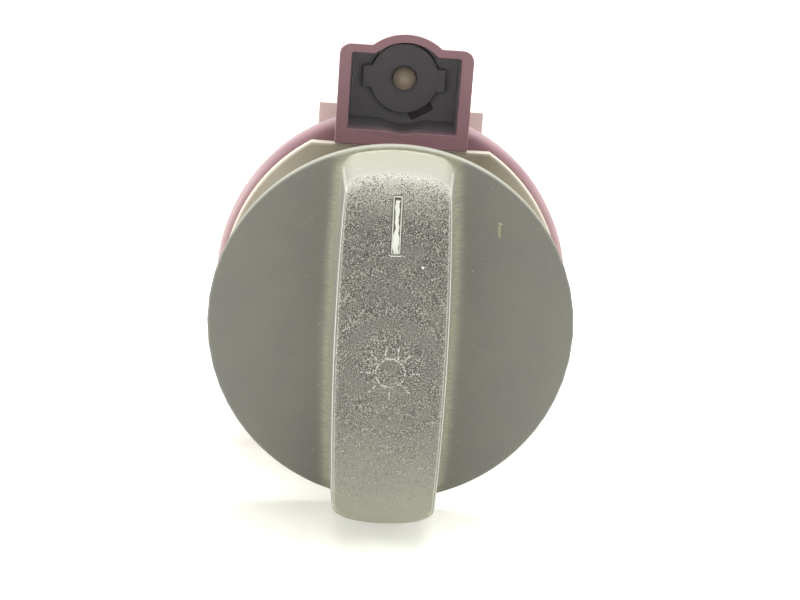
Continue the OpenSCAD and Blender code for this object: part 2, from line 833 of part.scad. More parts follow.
// Four screws that hold the base on the housing
module base_screws() {
    color(steel) in_car() for (a = screw_places) rotate([0, 0, a]) translate([screw_ring_r, 0, 0])
        difference() {
            union() {
                rod(screw_d / 2 - fit_gap, base_front - screw_grip + fit_gap, base_back);
                rod(screw_head_r, base_back, base_back + screw_head_t);
            }
            for (t = [0, 90]) rotate([0, 0, t])
                block(
                    recess_w, 2 * screw_head_r - over,
                    base_back + screw_head_t / 2, base_back + screw_head_t + over
                );
        }
}

// Black lamp holder that locks in the chamber's rear wall by a part turn
module lamp_holder() {
    front = wall_front - run_gap - lug_axial;
    color(base_black) in_car() translate([0, lamp_height, 0]) difference() {
        union() {
            rod(holder_r, front, flange_end);
            block(2 * (socket_r + lug_reach), lug_w, front, wall_front - run_gap);
            rod(holder_flange_r, flange_front, flange_end);
            block(2 * holder_flange_r - over, grip_w, flange_front, flange_end + grip_len);
        }
        rod(lamp_d / 2 + fit_gap, front - over, flange_end);
        for (j = [-1, 1]) translate([j * (holder_flange_r - over), 0, 0])
            block(
                strip_w / 2 + 2 * fit_gap, contact_len + 2 * fit_gap,
                flange_front - over, flange_front + contact_t + fit_gap
            );
    }
}

// Two brass contacts in the holder's flange, which press on the lamp strips
module holder_contacts() {
    color(brass) in_car() translate([0, lamp_height, 0])
        for (j = [-1, 1]) translate([j * (holder_flange_r - over), 0, 0])
            block(strip_w / 2, contact_len, flange_front + fit_gap, flange_front + contact_t);
}

// Sealed glass lamp, seen end-on in the chamber
module lamp() {
    r = lamp_d / 2;
    color(glass) in_car() translate([0, lamp_height, 0]) rotate_extrude() polygon(concat(
        [[0, -flange_end + fit_gap], [r, -flange_end + fit_gap]],
        arc([0, -lamp_tip - r], r, 0, 90)
    ));
}

// Brass strip that feeds the lamp: up the chamber's rear wall, and back into the base
module lamp_strip(side) {
    color(brass) in_car() {
        translate([side * strip_x - strip_w / 2, strip_y, -chamber_depth - strip_t])
            cube([strip_w, lamp_height + contact_len / 2 - strip_y, strip_t]);
        translate([side * strip_x - strip_w / 2, strip_y, -cup_depth - strip_seat + fit_gap])
            cube([strip_w, strip_t, cup_depth + strip_seat - fit_gap - chamber_depth]);
    }
}

knob();
pointer_inlay();
knob_clip();
spindle();
retaining_ring();
mounting_nut();
lock_washer();
front_plate();
spindle_bush();
housing();
rotor();
detent_spring();
contact_bridge(1);  // contact_bridge_1
contact_bridge(2);  // contact_bridge_2
contact_bridge(3);  // contact_bridge_3
contact_spring(1);  // contact_spring_1
contact_spring(2);  // contact_spring_2
contact_spring(3);  // contact_spring_3
terminal_base();
base_screws();
terminal(1);  // terminal_1
terminal(2);  // terminal_2
terminal(3);  // terminal_3
terminal(4);  // terminal_4
terminal(5);  // terminal_5
terminal(6);  // terminal_6
terminal(7);  // terminal_7
terminal(8);  // terminal_8
lamp_holder();
holder_contacts();
lamp();
lamp_strip(-1);  // lamp_strip_left
lamp_strip(1);  // lamp_strip_right
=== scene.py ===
import math

import bmesh
import bpy
import numpy as np
from mathutils import Matrix, Vector


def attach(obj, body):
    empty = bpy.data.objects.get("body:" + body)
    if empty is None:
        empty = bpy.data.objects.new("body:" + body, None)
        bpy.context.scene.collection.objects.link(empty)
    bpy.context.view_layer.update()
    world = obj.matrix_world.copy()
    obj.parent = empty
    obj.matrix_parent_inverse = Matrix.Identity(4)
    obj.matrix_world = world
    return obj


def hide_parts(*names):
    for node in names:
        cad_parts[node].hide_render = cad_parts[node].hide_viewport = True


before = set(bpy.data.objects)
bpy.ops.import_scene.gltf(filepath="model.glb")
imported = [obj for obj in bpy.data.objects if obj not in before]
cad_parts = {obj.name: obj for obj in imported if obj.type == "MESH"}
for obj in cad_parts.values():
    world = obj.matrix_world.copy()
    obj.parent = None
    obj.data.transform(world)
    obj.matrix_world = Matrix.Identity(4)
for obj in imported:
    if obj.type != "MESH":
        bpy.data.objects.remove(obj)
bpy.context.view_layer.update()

MM = 0.001

# Camera: it stands 200 mm in front of the knob's disc and 16 degrees above its axis, and
# leans over by 4 degrees, as the switch lies a little turned on the table.
KNOB_FRONT = 18.5
VIEW_UP = math.radians(15.89)
VIEW_LEAN = math.radians(-4.0)
VIEW_DISTANCE = 200.0
LENS_PX, SENSOR_MM = 1635.0, 36.0
FRAME_W, FRAME_H = 800.0, 600.0
CENTRE_PX = (390.4, 328.3)
CLIP_NEAR, CLIP_FAR = 0.005, 20.0

lean = Matrix.Rotation(VIEW_LEAN, 3, "Y")
back = lean @ Vector((0, -math.cos(VIEW_UP), math.sin(VIEW_UP)))
up = lean @ Vector((0, math.sin(VIEW_UP), math.cos(VIEW_UP)))
eye = MM * (Vector((0, -KNOB_FRONT, 0)) + VIEW_DISTANCE * back)
lens = bpy.data.cameras.new("camera")
lens.sensor_width = SENSOR_MM
lens.lens = LENS_PX / FRAME_W * SENSOR_MM
lens.shift_x = (FRAME_W / 2 - CENTRE_PX[0]) / FRAME_W
lens.shift_y = (CENTRE_PX[1] - FRAME_H / 2) / FRAME_W
lens.clip_start, lens.clip_end = CLIP_NEAR, CLIP_FAR
camera = bpy.data.objects.new("camera", lens)
camera.matrix_world = Matrix.Translation(eye) @ Matrix((up.cross(back), up, back)).transposed().to_4x4()
bpy.context.scene.collection.objects.link(camera)
bpy.context.scene.camera = camera
bpy.context.scene.view_settings.view_transform = "Standard"


# Table and light: a sheet of white card under the switch, a white room that is darker on the
# camera's side, one wide lamp overhead and one at each side. The camera sees the card a
# little brighter than it is lit, most to the right of the switch, so that it nears white.
def srgb(code):
    """The linear colour of an sRGB hex code: each channel undoes the display's curve."""
    c = np.array([int(code[i:i + 2], 16) for i in (1, 3, 5)]) / 255
    linear = np.where(c > 0.04045, ((c + 0.055) / 1.055) ** 2.4, c / 12.92)
    return (*linear.tolist(), 1.0)


def add(tree, kind, inputs=None, **settings):
    """Adds one shader node. Each input is a plain value, the socket that feeds it, or a node
    whose first output feeds it."""
    made = tree.nodes.new("ShaderNode" + kind)
    for name, value in settings.items():
        setattr(made, name, value)
    for key, value in (inputs or {}).items():
        if isinstance(value, bpy.types.Node):
            value = value.outputs[0]
        if isinstance(value, bpy.types.NodeSocket):
            tree.links.new(value, made.inputs[key])
        else:
            made.inputs[key].default_value = value
    return made


def bare_material(name):
    """A material without nodes, and the tree to fill."""
    made = bpy.data.materials.new(name)
    made.use_nodes = True
    made.node_tree.nodes.clear()
    return made, made.node_tree


def new_piece(name, points, faces):
    """A mesh object at the origin, from points in millimetres."""
    mesh = bpy.data.meshes.new(name)
    mesh.from_pydata((np.asarray(points, float) * MM).tolist(), [], np.asarray(faces).tolist())
    mesh.update()
    made = bpy.data.objects.new(name, mesh)
    bpy.context.scene.collection.objects.link(made)
    return made


FLOOR_Z = -23.6
FLOOR_HALF = 3000.0
LIFT_LEFT, LIFT_RIGHT = 0.16, 0.36
LIFT_FROM_X, LIFT_TO_X = -9.0, 3.0
card = new_piece("table_card", [(x * FLOOR_HALF, y * FLOOR_HALF, FLOOR_Z)
                                for x, y in ((-1, -1), (1, -1), (1, 1), (-1, 1))], [(0, 1, 2, 3)])

# White card is matt and even, and slightly warm.
white_card, tree = bare_material("white_card")
ray = add(tree, "LightPath")
seen = add(tree, "Math", {0: ray.outputs["Is Camera Ray"], 1: ray.outputs["Is Glossy Ray"]},
           operation="MAXIMUM")
seen = add(tree, "Math", {0: seen, 1: ray.outputs["Is Transmission Ray"]}, operation="MAXIMUM")
where = add(tree, "TexCoord")
where = add(tree, "SeparateXYZ", {0: where.outputs["Object"]})
rise = add(tree, "MapRange", {"Value": where.outputs["X"], "From Min": LIFT_FROM_X * MM,
                              "From Max": LIFT_TO_X * MM, "To Min": LIFT_LEFT, "To Max": LIFT_RIGHT})
lift = add(tree, "Math", {0: seen, 1: rise}, operation="MULTIPLY")
paper = add(tree, "BsdfDiffuse", {"Color": srgb("#f3f3ea")})
glow = add(tree, "Emission", {"Color": srgb("#fffff8"), "Strength": lift})
both = add(tree, "AddShader", {0: paper, 1: glow})
add(tree, "OutputMaterial", {"Surface": both})
card.data.materials.append(white_card)

ROOM_LEVEL, ROOM_SLOPE = 0.92, 0.3
world = bpy.data.worlds.new("white_room")
bpy.context.scene.world = world
world.use_nodes = True
tree = world.node_tree
tree.nodes.clear()
way = add(tree, "TexCoord")
way = add(tree, "SeparateXYZ", {0: way.outputs["Generated"]})
level = add(tree, "Math", {0: way.outputs["Y"], 1: ROOM_SLOPE, 2: ROOM_LEVEL}, operation="MULTIPLY_ADD")
ray = add(tree, "LightPath")
room = add(tree, "Background", {"Color": srgb("#ffffff"), "Strength": level})
plain = add(tree, "Background", {"Color": srgb("#ffffff"), "Strength": 1.0})
mixed = add(tree, "MixShader", {0: ray.outputs["Is Camera Ray"], 1: room, 2: plain})
add(tree, "OutputWorld", {"Surface": mixed})


def softbox(name, place, size, watts):
    """A square area lamp at a place in millimetres, turned to look at the switch."""
    data = bpy.data.lights.new(name, "AREA")
    data.shape, data.size, data.energy = "SQUARE", size * MM, watts
    made = bpy.data.objects.new(name, data)
    made.location = MM * Vector(place)
    made.rotation_euler = (-Vector(place)).to_track_quat("-Z", "Y").to_euler()
    bpy.context.scene.collection.objects.link(made)


softbox("overhead", (60, 160, 600), 450, 4.2)
softbox("side_right", (520, 40, 160), 300, 0.6)
softbox("side_left", (-520, 40, 160), 300, 1.5)


# Front plate: glass-filled nylon, black under an olive bloom, moulded with a straight top
# edge and a neck. The neck's thread takes the nut that clamps the trim panel on the plate.
NECK_R, NECK_CORE_R, NECK_END = 7.0, 6.3, 10.0
THREAD_PITCH, THREAD_DEPTH, THREAD_FADE = 1.0, 0.45, 0.8
THREAD_START, SLEEVE_GAP = 0.05, 0.02
CUT_R, CUT_START, CUT_END = 8.0, 0.03, 11.0
EASED_EDGE, EASED_FROM, EASED_STEPS = 0.12, math.radians(35), 2
FLAT_ANGLE, CREASE, THREAD_CREASE = math.radians(0.4), math.radians(32), math.radians(50)
PLATE_R, PLATE_TOP, RIM_HIGHLIGHT = 22.45, 19.2, 0.12
GLARE_MIDDLE, GLARE_FROM, GLARE_TO = 1.5, 9.0, 17.5
TILT_FROM, TILT_TO = -0.97, -0.85


def in_mm(tree):
    """The place on the piece in millimetres, so that a noise scale of 2 is 2 per mm."""
    where = add(tree, "TexCoord")
    return add(tree, "VectorMath", {0: where.outputs["Object"], "Scale": 1 / MM}, operation="SCALE")


def welded(obj, gap=2e-6):
    """Merges doubled points, drops what has no area and turns the faces outwards."""
    work = bmesh.new()
    work.from_mesh(obj.data)
    bmesh.ops.remove_doubles(work, verts=work.verts, dist=gap)
    bmesh.ops.dissolve_degenerate(work, edges=work.edges, dist=gap / 4)
    bmesh.ops.recalc_face_normals(work, faces=work.faces)
    work.to_mesh(obj.data)
    work.free()
    return obj


def smooth(obj, angle=CREASE):
    """Smooth shading, with creases where faces meet at more than this angle. Normals that
    came with a CAD mesh go, as they no longer fit its faces."""
    stored = obj.data.attributes.get("custom_normal")
    if stored:
        obj.data.attributes.remove(stored)
    obj.data.polygons.foreach_set("use_smooth", np.ones(len(obj.data.polygons), bool))
    obj.data.set_sharp_from_angle(angle=angle)
    return obj


def carve(obj, tool, how):
    """Applies a Boolean of obj with another piece, which is then removed."""
    cut = obj.modifiers.new("cut", "BOOLEAN")
    cut.operation, cut.object, cut.solver = how, tool, "EXACT"
    bpy.context.view_layer.update()
    done = bpy.data.meshes.new_from_object(obj.evaluated_get(bpy.context.evaluated_depsgraph_get()))
    obj.modifiers.clear()
    obj.data = done
    bpy.data.objects.remove(tool)


def copied(node, name, flat=True):
    """A welded copy of a CAD node's mesh, with its flat faces whole again if flat is set."""
    made = bpy.data.objects.new(name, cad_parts[node].data.copy())
    bpy.context.scene.collection.objects.link(made)
    welded(made)
    if flat:
        work = bmesh.new()
        work.from_mesh(made.data)
        bmesh.ops.dissolve_limit(work, angle_limit=FLAT_ANGLE, verts=work.verts, edges=work.edges)
        work.to_mesh(made.data)
        work.free()
    return made


def eased(obj, width=EASED_EDGE):
    """Rounds the sharp edges of a moulding by a small width in millimetres."""
    soften = obj.modifiers.new("moulded_edges", "BEVEL")
    soften.limit_method, soften.angle_limit = "ANGLE", EASED_FROM
    soften.width, soften.segments, soften.harden_normals = width * MM, EASED_STEPS, True
    soften.use_clamp_overlap = False
    return smooth(obj)


def finished(obj, material, slot, body, *nodes):
    """Gives a piece its material, and puts it in the place of CAD nodes. The record slot is not used.
    """
    obj.data.materials.clear()
    obj.data.materials.append(material)
    if nodes:
        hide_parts(*nodes)
    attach(obj, body)


def loft_faces(rows, columns):
    """Quads of a grid of points whose columns close on themselves."""
    i, j = np.meshgrid(np.arange(rows - 1), np.arange(columns), indexing="ij")
    k = (j + 1) % columns
    near, far = i * columns, (i + 1) * columns
    return np.stack([near + j, near + k, far + k, far + j], -1).reshape(-1, 4)


def turned_solid(name, radii, depths, sides=96):
    """A closed solid turned about the knob's axis: each row of points is a circle of one
    radius at one distance behind the trim panel, and the last row meets the first."""
    a = np.linspace(0, 2 * math.pi, sides, endpoint=False)
    r, y = np.append(radii, radii[0]), np.append(depths, depths[0])
    points = np.stack([np.outer(r, np.cos(a)), np.outer(y, np.ones(sides)), np.outer(r, np.sin(a))], -1)
    return welded(new_piece(name, points.reshape(-1, 3), loft_faces(len(r), sides)))


def neck_thread():
    """The threaded sleeve of the neck: the radius follows a triangle wave of the distance
    along the axis, which moves on by one pitch a turn and fades out at both ends."""
    sides, rows = 96, 121
    a = np.linspace(0, 2 * math.pi, sides, endpoint=False)
    y = np.linspace(-NECK_END, -THREAD_START, rows)[:, None]
    wave = np.abs(((y / THREAD_PITCH - a / (2 * math.pi)) % 1) * 2 - 1)
    fade = np.clip(np.minimum(y + NECK_END, -y) / THREAD_FADE, 0, 1)
    r = NECK_R - THREAD_DEPTH * (1 - (1 - wave) * fade)
    inner = np.full((1, sides), NECK_CORE_R + SLEEVE_GAP)
    r = np.concatenate([inner, r, inner, inner])
    y = np.concatenate([y[:1], y, y[-1:], y[:1]]) + 0 * a
    points = np.stack([r * np.cos(a), y, r * np.sin(a)], -1)
    return welded(new_piece("neck_thread", points.reshape(-1, 3), loft_faces(len(r), sides)))


# Glass-filled nylon comes out of the mould matt and a little streaked, and dust dulls it. The edge
# that tilts away has painted shade, darker than the face, both ends a painted glare, and the rim a
# painted highlight, pale.
filled_nylon, tree = bare_material("glass_filled_nylon")
mm = in_mm(tree)
cloud = add(tree, "TexNoise", {"Vector": mm, "Scale": 0.25, "Detail": 5.0, "Roughness": 0.6})
streak = add(tree, "Mapping", {"Vector": mm, "Scale": (3.0, 3.0, 0.5)})
streak = add(tree, "TexNoise", {"Vector": streak, "Scale": 1.0, "Detail": 3.0})
shade = add(tree, "MixRGB", {0: cloud, 1: srgb("#837a65"), 2: srgb("#aaa18c")})
shade = add(tree, "MixRGB", {0: streak, 1: shade, 2: srgb("#8f8874")})
# Painted shade: the plate darkens where its surface tilts away from the front.
tilt_shade = add(tree, "TexCoord")
tilt_shade = add(tree, "SeparateXYZ", {0: tilt_shade.outputs["Normal"]})
tilt_shade = add(tree, "MapRange", {"Value": tilt_shade.outputs["Y"], "From Min": TILT_FROM,
                                "From Max": TILT_TO, "To Max": 0.85})
shade = add(tree, "MixRGB", {0: tilt_shade, 1: shade, 2: srgb("#7b7260")})
axis = add(tree, "SeparateXYZ", {0: mm})
# Painted glare: the plate turns paler towards both ends, a little more towards the left.
painted_light = add(tree, "Math", {0: axis.outputs["X"], 1: GLARE_MIDDLE}, operation="SUBTRACT")
painted_light = add(tree, "Math", {0: painted_light}, operation="ABSOLUTE")
painted_light = add(tree, "MapRange", {"Value": painted_light, "From Min": GLARE_FROM, "From Max": GLARE_TO,
                               "To Max": 0.85})
shade = add(tree, "MixRGB", {0: painted_light, 1: shade, 2: srgb("#cfc6b4")})
# Painted highlight: a pale line along the chamfered rim and the straight top edge.
rim = add(tree, "VectorMath", {0: mm, 1: (1, 0, 1)}, operation="MULTIPLY")
rim = add(tree, "VectorMath", {0: rim}, operation="LENGTH")
rim = add(tree, "Math", {0: rim.outputs["Value"], 1: PLATE_R - RIM_HIGHLIGHT}, operation="GREATER_THAN")
chord = add(tree, "Math", {0: axis.outputs["Z"], 1: PLATE_TOP - RIM_HIGHLIGHT}, operation="GREATER_THAN")
rim = add(tree, "Math", {0: rim, 1: chord}, operation="MAXIMUM")
rim = add(tree, "Math", {0: rim, 1: 0.7}, operation="MULTIPLY")
shade = add(tree, "MixRGB", {0: rim, 1: shade, 2: srgb("#e6dfcf")})
grit = add(tree, "TexNoise", {"Vector": mm, "Scale": 6.0, "Detail": 2.0})
bump = add(tree, "Bump", {"Height": grit, "Distance": 0.02 * MM, "Strength": 0.5})
rough = add(tree, "MapRange", {"Value": cloud, "To Min": 0.42, "To Max": 0.6})
skin = add(tree, "BsdfPrincipled", {"Base Color": shade, "Roughness": rough, "Normal": bump})
add(tree, "OutputMaterial", {"Surface": skin})

plate = copied("front_plate", "front_plate_moulding")
carve(plate, turned_solid("neck_room", [NECK_CORE_R, CUT_R, CUT_R, NECK_CORE_R],
                          [-CUT_END, -CUT_END, -CUT_START, -CUT_START]), "DIFFERENCE")
finished(eased(plate), filled_nylon, "plate_plastic", "housing", "front_plate")
finished(smooth(neck_thread(), THREAD_CREASE), filled_nylon, "plate_plastic", "housing")


# Nut, washer, bush and retaining ring round the neck: a brass nut turned from hexagon bar, a
# zinc-plated toothed washer, a sintered bronze bush, and an open ring of spring steel.
def dress(node, material):
    """Gives a carried-over CAD node its finish."""
    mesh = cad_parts[node].data
    mesh.materials.clear()
    mesh.materials.append(material)


# Turned brass keeps the fine rings of the tool, drawn coarser, 0.4 mm apart, so that they
# show, and it tarnishes in spots.
turned_brass, tree = bare_material("turned_brass")
mm = in_mm(tree)
rings = add(tree, "Mapping", {"Vector": mm, "Rotation": (math.pi / 2, 0, 0)})
rings = add(tree, "TexWave", {"Vector": rings, "Scale": 0.8, "Distortion": 0.4, "Detail": 1.0},
            wave_type="RINGS", rings_direction="Z")
spots = add(tree, "TexNoise", {"Vector": mm, "Scale": 0.7, "Detail": 6.0})
spots = add(tree, "MapRange", {"Value": spots, "From Min": 0.4, "From Max": 0.65})
shade = add(tree, "MixRGB", {0: spots, 1: srgb("#d6bb7a"), 2: srgb("#b3965a")})
rough = add(tree, "MapRange", {"Value": spots, "To Min": 0.24, "To Max": 0.42})
bump = add(tree, "Bump", {"Height": rings, "Distance": 0.01 * MM, "Strength": 0.6})
skin = add(tree, "BsdfPrincipled", {"Base Color": shade, "Metallic": 1.0, "Roughness": rough,
                                    "Normal": bump})
add(tree, "OutputMaterial", {"Surface": skin})
dress("mounting_nut", turned_brass)

# Bright zinc plate is bluish, with faint clouds from the bath.
zinc_plate, tree = bare_material("zinc_plated_steel")
mm = in_mm(tree)
cloud = add(tree, "TexNoise", {"Vector": mm, "Scale": 1.2, "Detail": 5.0, "Roughness": 0.65})
shade = add(tree, "MixRGB", {0: cloud, 1: srgb("#aeb2b8"), 2: srgb("#dcdedd")})
rough = add(tree, "MapRange", {"Value": cloud, "To Min": 0.22, "To Max": 0.45})
grit = add(tree, "TexNoise", {"Vector": mm, "Scale": 9.0})
bump = add(tree, "Bump", {"Height": grit, "Distance": 0.006 * MM, "Strength": 0.5})
skin = add(tree, "BsdfPrincipled", {"Base Color": shade, "Metallic": 1.0, "Roughness": rough,
                                    "Normal": bump})
add(tree, "OutputMaterial", {"Surface": skin})
dress("lock_washer", zinc_plate)

# Sintered bronze is pressed from powder and oiled: dull and brown, with pores that are drawn
# about 0.1 mm wide so that they show.
sintered_bronze, tree = bare_material("sintered_bronze")
mm = in_mm(tree)
pores = add(tree, "TexVoronoi", {"Vector": mm, "Scale": 5.0})
pores = add(tree, "MapRange", {"Value": pores, "From Min": 0.1, "From Max": 0.45})
shade = add(tree, "MixRGB", {0: pores, 1: srgb("#5b4126"), 2: srgb("#a98455")})
bump = add(tree, "Bump", {"Height": pores, "Distance": 0.02 * MM, "Strength": 0.5})
skin = add(tree, "BsdfPrincipled", {"Base Color": shade, "Metallic": 1.0, "Roughness": 0.42,
                                    "Normal": bump})
add(tree, "OutputMaterial", {"Surface": skin})
dress("spindle_bush", sintered_bronze)

# Hardened spring steel is smooth, blue-grey and faintly oiled.
spring_steel, tree = bare_material("spring_steel")
mm = in_mm(tree)
cloud = add(tree, "TexNoise", {"Vector": mm, "Scale": 0.9, "Detail": 4.0})
shade = add(tree, "MixRGB", {0: cloud, 1: srgb("#7d8087"), 2: srgb("#a7a8a8")})
rough = add(tree, "MapRange", {"Value": cloud, "To Min": 0.25, "To Max": 0.38})
skin = add(tree, "BsdfPrincipled", {"Base Color": shade, "Metallic": 1.0, "Roughness": rough})
add(tree, "OutputMaterial", {"Surface": skin})
for node in ("retaining_ring", "knob_clip", "detent_spring",
             *(f"contact_spring_{k}" for k in (1, 2, 3))):
    dress(node, spring_steel)

# Housing: burgundy polyester, moulded in one piece with the chamber that guides the lamp's
# light to the symbols of the panel.
CHAMBER_HALF, CHAMBER_FLOOR, CHAMBER_BACK, WALL_BLUR = 7.4, 20.5, 13.1, 0.1
DOME_AT, DOME_R, DOME_TOP = 26.8, 6.4, 31.5
SOOT_FROM, SOOT_FULL = 0.4, 4.5
RING_FROM, RING_TO, RING_TOP, RING_LOW = 21.8, 23.4, 20.0, 13.0
ROOF_FROM, ROOF_TO = 27.0, 30.0
BLOCK_FRONT, BLOCK_FOOT, BLOCK_SIDE = (13.4, 14.8), (16.5, 17.5), (13.5, 12.5)

# Polyester is moulded dense and slightly glossy. What faces up and the rounded rim of the flange
# are paler with painted light. Soot has darkened the inside of the chamber, and painted glare makes
# the chamber's roof and, most of all, the block behind it pale.
polyester, tree = bare_material("moulded_polyester")
mm = in_mm(tree)
cloud = add(tree, "TexNoise", {"Vector": mm, "Scale": 0.3, "Detail": 5.0, "Roughness": 0.6})
shade = add(tree, "MixRGB", {0: cloud, 1: srgb("#86606a"), 2: srgb("#97737b")})
axis = add(tree, "SeparateXYZ", {0: mm})
wide = add(tree, "Math", {0: axis.outputs["X"]}, operation="ABSOLUTE")
beside = add(tree, "MapRange", {"Value": wide, "From Min": CHAMBER_HALF - WALL_BLUR,
                                "From Max": CHAMBER_HALF + WALL_BLUR, "To Min": 1.0, "To Max": 0.0})
above = add(tree, "MapRange", {"Value": axis.outputs["Z"], "From Min": CHAMBER_FLOOR - WALL_BLUR,
                               "From Max": CHAMBER_FLOOR + WALL_BLUR})
inside = add(tree, "MapRange", {"Value": axis.outputs["Y"], "From Min": SOOT_FROM,
                                "From Max": SOOT_FULL})
behind = add(tree, "MapRange", {"Value": axis.outputs["Y"], "From Min": CHAMBER_BACK - WALL_BLUR,
                                "From Max": CHAMBER_BACK + WALL_BLUR, "To Min": 1.0, "To Max": 0.0})
dome = add(tree, "VectorMath", {0: mm, 1: (0, 0, DOME_AT)}, operation="SUBTRACT")
dome = add(tree, "VectorMath", {0: dome, 1: (1, 0, 1)}, operation="MULTIPLY")
dome = add(tree, "VectorMath", {0: dome}, operation="LENGTH")
dome = add(tree, "MapRange", {"Value": dome.outputs["Value"], "From Min": DOME_R - WALL_BLUR,
                              "From Max": DOME_R + WALL_BLUR, "To Min": 1.0, "To Max": 0.0})
under = add(tree, "MapRange", {"Value": axis.outputs["Z"], "From Min": DOME_TOP - WALL_BLUR,
                               "From Max": DOME_TOP + WALL_BLUR, "To Min": 1.0, "To Max": 0.0})
soot = add(tree, "Math", {0: dome, 1: under}, operation="MAXIMUM")
for mask in (beside, above, inside, behind):
    soot = add(tree, "Math", {0: soot, 1: mask}, operation="MULTIPLY")
# Painted sheen: the rounded rim of the flange turns paler, most of all low down.
ring_sheen = add(tree, "VectorMath", {0: mm, 1: (1, 0, 1)}, operation="MULTIPLY")
ring_sheen = add(tree, "VectorMath", {0: ring_sheen}, operation="LENGTH")
ring_sheen = add(tree, "MapRange", {"Value": ring_sheen.outputs["Value"], "From Min": RING_FROM,
                              "From Max": RING_TO})
low = add(tree, "MapRange", {"Value": axis.outputs["Z"], "From Min": RING_TOP, "From Max": RING_LOW,
                             "To Max": 0.8})
ring_sheen = add(tree, "Math", {0: ring_sheen, 1: low}, operation="MULTIPLY")
# Painted top light: what faces up is paler.
top_lit = add(tree, "TexCoord")
top_lit = add(tree, "SeparateXYZ", {0: top_lit.outputs["Normal"]})
top_lit = add(tree, "MapRange", {"Value": top_lit.outputs["Z"], "From Min": 0.3, "From Max": 0.8})
# Painted glare on the chamber's roof, where it faces up.
roof_glare = add(tree, "MapRange", {"Value": axis.outputs["Z"], "From Min": ROOF_FROM, "From Max": ROOF_TO})
roof_glare = add(tree, "Math", {0: roof_glare, 1: top_lit}, operation="MULTIPLY")
# Painted glare: the block behind the chamber is painted nearly white.
block_glare = add(tree, "MapRange", {"Value": axis.outputs["Y"], "From Min": BLOCK_FRONT[0],
                                "From Max": BLOCK_FRONT[1]})
for place, (start, full) in ((axis.outputs["Z"], BLOCK_FOOT), (wide, BLOCK_SIDE)):
    mask = add(tree, "MapRange", {"Value": place, "From Min": start, "From Max": full})
    block_glare = add(tree, "Math", {0: block_glare, 1: mask}, operation="MULTIPLY")
# The pale rim sheen and the top light are painted light, mixed into one mask.
painted_light = add(tree, "Math", {0: top_lit, 1: 0.4}, operation="MULTIPLY")
painted_light = add(tree, "Math", {0: ring_sheen, 1: painted_light}, operation="MAXIMUM")
shade = add(tree, "MixRGB", {0: painted_light, 1: shade, 2: srgb("#b99c9d")})
shade = add(tree, "MixRGB", {0: roof_glare, 1: shade, 2: srgb("#d9c4c1")})
shade = add(tree, "MixRGB", {0: block_glare, 1: shade, 2: srgb("#ecdcd5")})
shade = add(tree, "MixRGB", {0: soot, 1: shade, 2: srgb("#99969b")})
grit = add(tree, "TexNoise", {"Vector": mm, "Scale": 5.0, "Detail": 3.0})
bump = add(tree, "Bump", {"Height": grit, "Distance": 0.012 * MM, "Strength": 0.5})
rough = add(tree, "MapRange", {"Value": cloud, "To Min": 0.34, "To Max": 0.5})
skin = add(tree, "BsdfPrincipled", {"Base Color": shade, "Roughness": rough, "Normal": bump})
add(tree, "OutputMaterial", {"Surface": skin})
housing = eased(copied("housing", "housing_moulding"))
finished(housing, polyester, "housing_burgundy", "housing", "housing")

# Rotor and contacts inside the housing: white acetal, with bridges and blades stamped from
# rolled brass strip.

# Acetal is moulded smooth, and lets a little light in under its skin.
acetal, tree = bare_material("moulded_acetal")
mm = in_mm(tree)
cloud = add(tree, "TexNoise", {"Vector": mm, "Scale": 0.3, "Detail": 3.0})
shade = add(tree, "MixRGB", {0: cloud, 1: srgb("#dcd8c8"), 2: srgb("#ece9dd")})
skin = add(tree, "BsdfPrincipled", {"Base Color": shade, "Roughness": 0.35, "Subsurface Weight": 0.1,
                                    "Subsurface Scale": 0.6 * MM})
add(tree, "OutputMaterial", {"Surface": skin})
dress("rotor", acetal)

# Rolled brass has fine lines from the rolls, along the blades, and tarnishes in spots.
rolled_brass, tree = bare_material("rolled_brass")
mm = in_mm(tree)
lines = add(tree, "Mapping", {"Vector": mm, "Scale": (12.0, 0.8, 12.0)})
lines = add(tree, "TexNoise", {"Vector": lines, "Scale": 1.0, "Detail": 2.0})
spots = add(tree, "TexNoise", {"Vector": mm, "Scale": 1.0, "Detail": 5.0})
shade = add(tree, "MixRGB", {0: spots, 1: srgb("#b8975a"), 2: srgb("#e0c586")})
rough = add(tree, "MapRange", {"Value": lines, "To Min": 0.2, "To Max": 0.4})
skin = add(tree, "BsdfPrincipled", {"Base Color": shade, "Metallic": 1.0, "Roughness": rough})
add(tree, "OutputMaterial", {"Surface": skin})
BLADES = ("contact_bridge", "terminal_", "lamp_strip", "holder_contacts")
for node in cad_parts:
    if node.startswith(BLADES) and node != "terminal_base":
        dress(node, rolled_brass)

# Base and lamp holder: the base is screwed on the housing by four zinc-plated screws, and the
# holder turns in the chamber's back. Both are nylon.

# Black nylon has the fine grain of a spark-eroded mould, drawn 0.25 mm wide so that it shows,
# and a dull sheen that varies.
black_nylon, tree = bare_material("black_nylon")
mm = in_mm(tree)
cloud = add(tree, "TexNoise", {"Vector": mm, "Scale": 0.4, "Detail": 5.0, "Roughness": 0.6})
shade = add(tree, "MixRGB", {0: cloud, 1: srgb("#47474a"), 2: srgb("#5a5a5c")})
grit = add(tree, "TexNoise", {"Vector": mm, "Scale": 4.0, "Detail": 3.0})
bump = add(tree, "Bump", {"Height": grit, "Distance": 0.03 * MM, "Strength": 0.6})
rough = add(tree, "MapRange", {"Value": cloud, "To Min": 0.4, "To Max": 0.6})
skin = add(tree, "BsdfPrincipled", {"Base Color": shade, "Roughness": rough, "Normal": bump})
add(tree, "OutputMaterial", {"Surface": skin})
base = eased(copied("terminal_base", "terminal_base_moulding"))
finished(base, black_nylon, "base_plastic", "housing", "terminal_base")

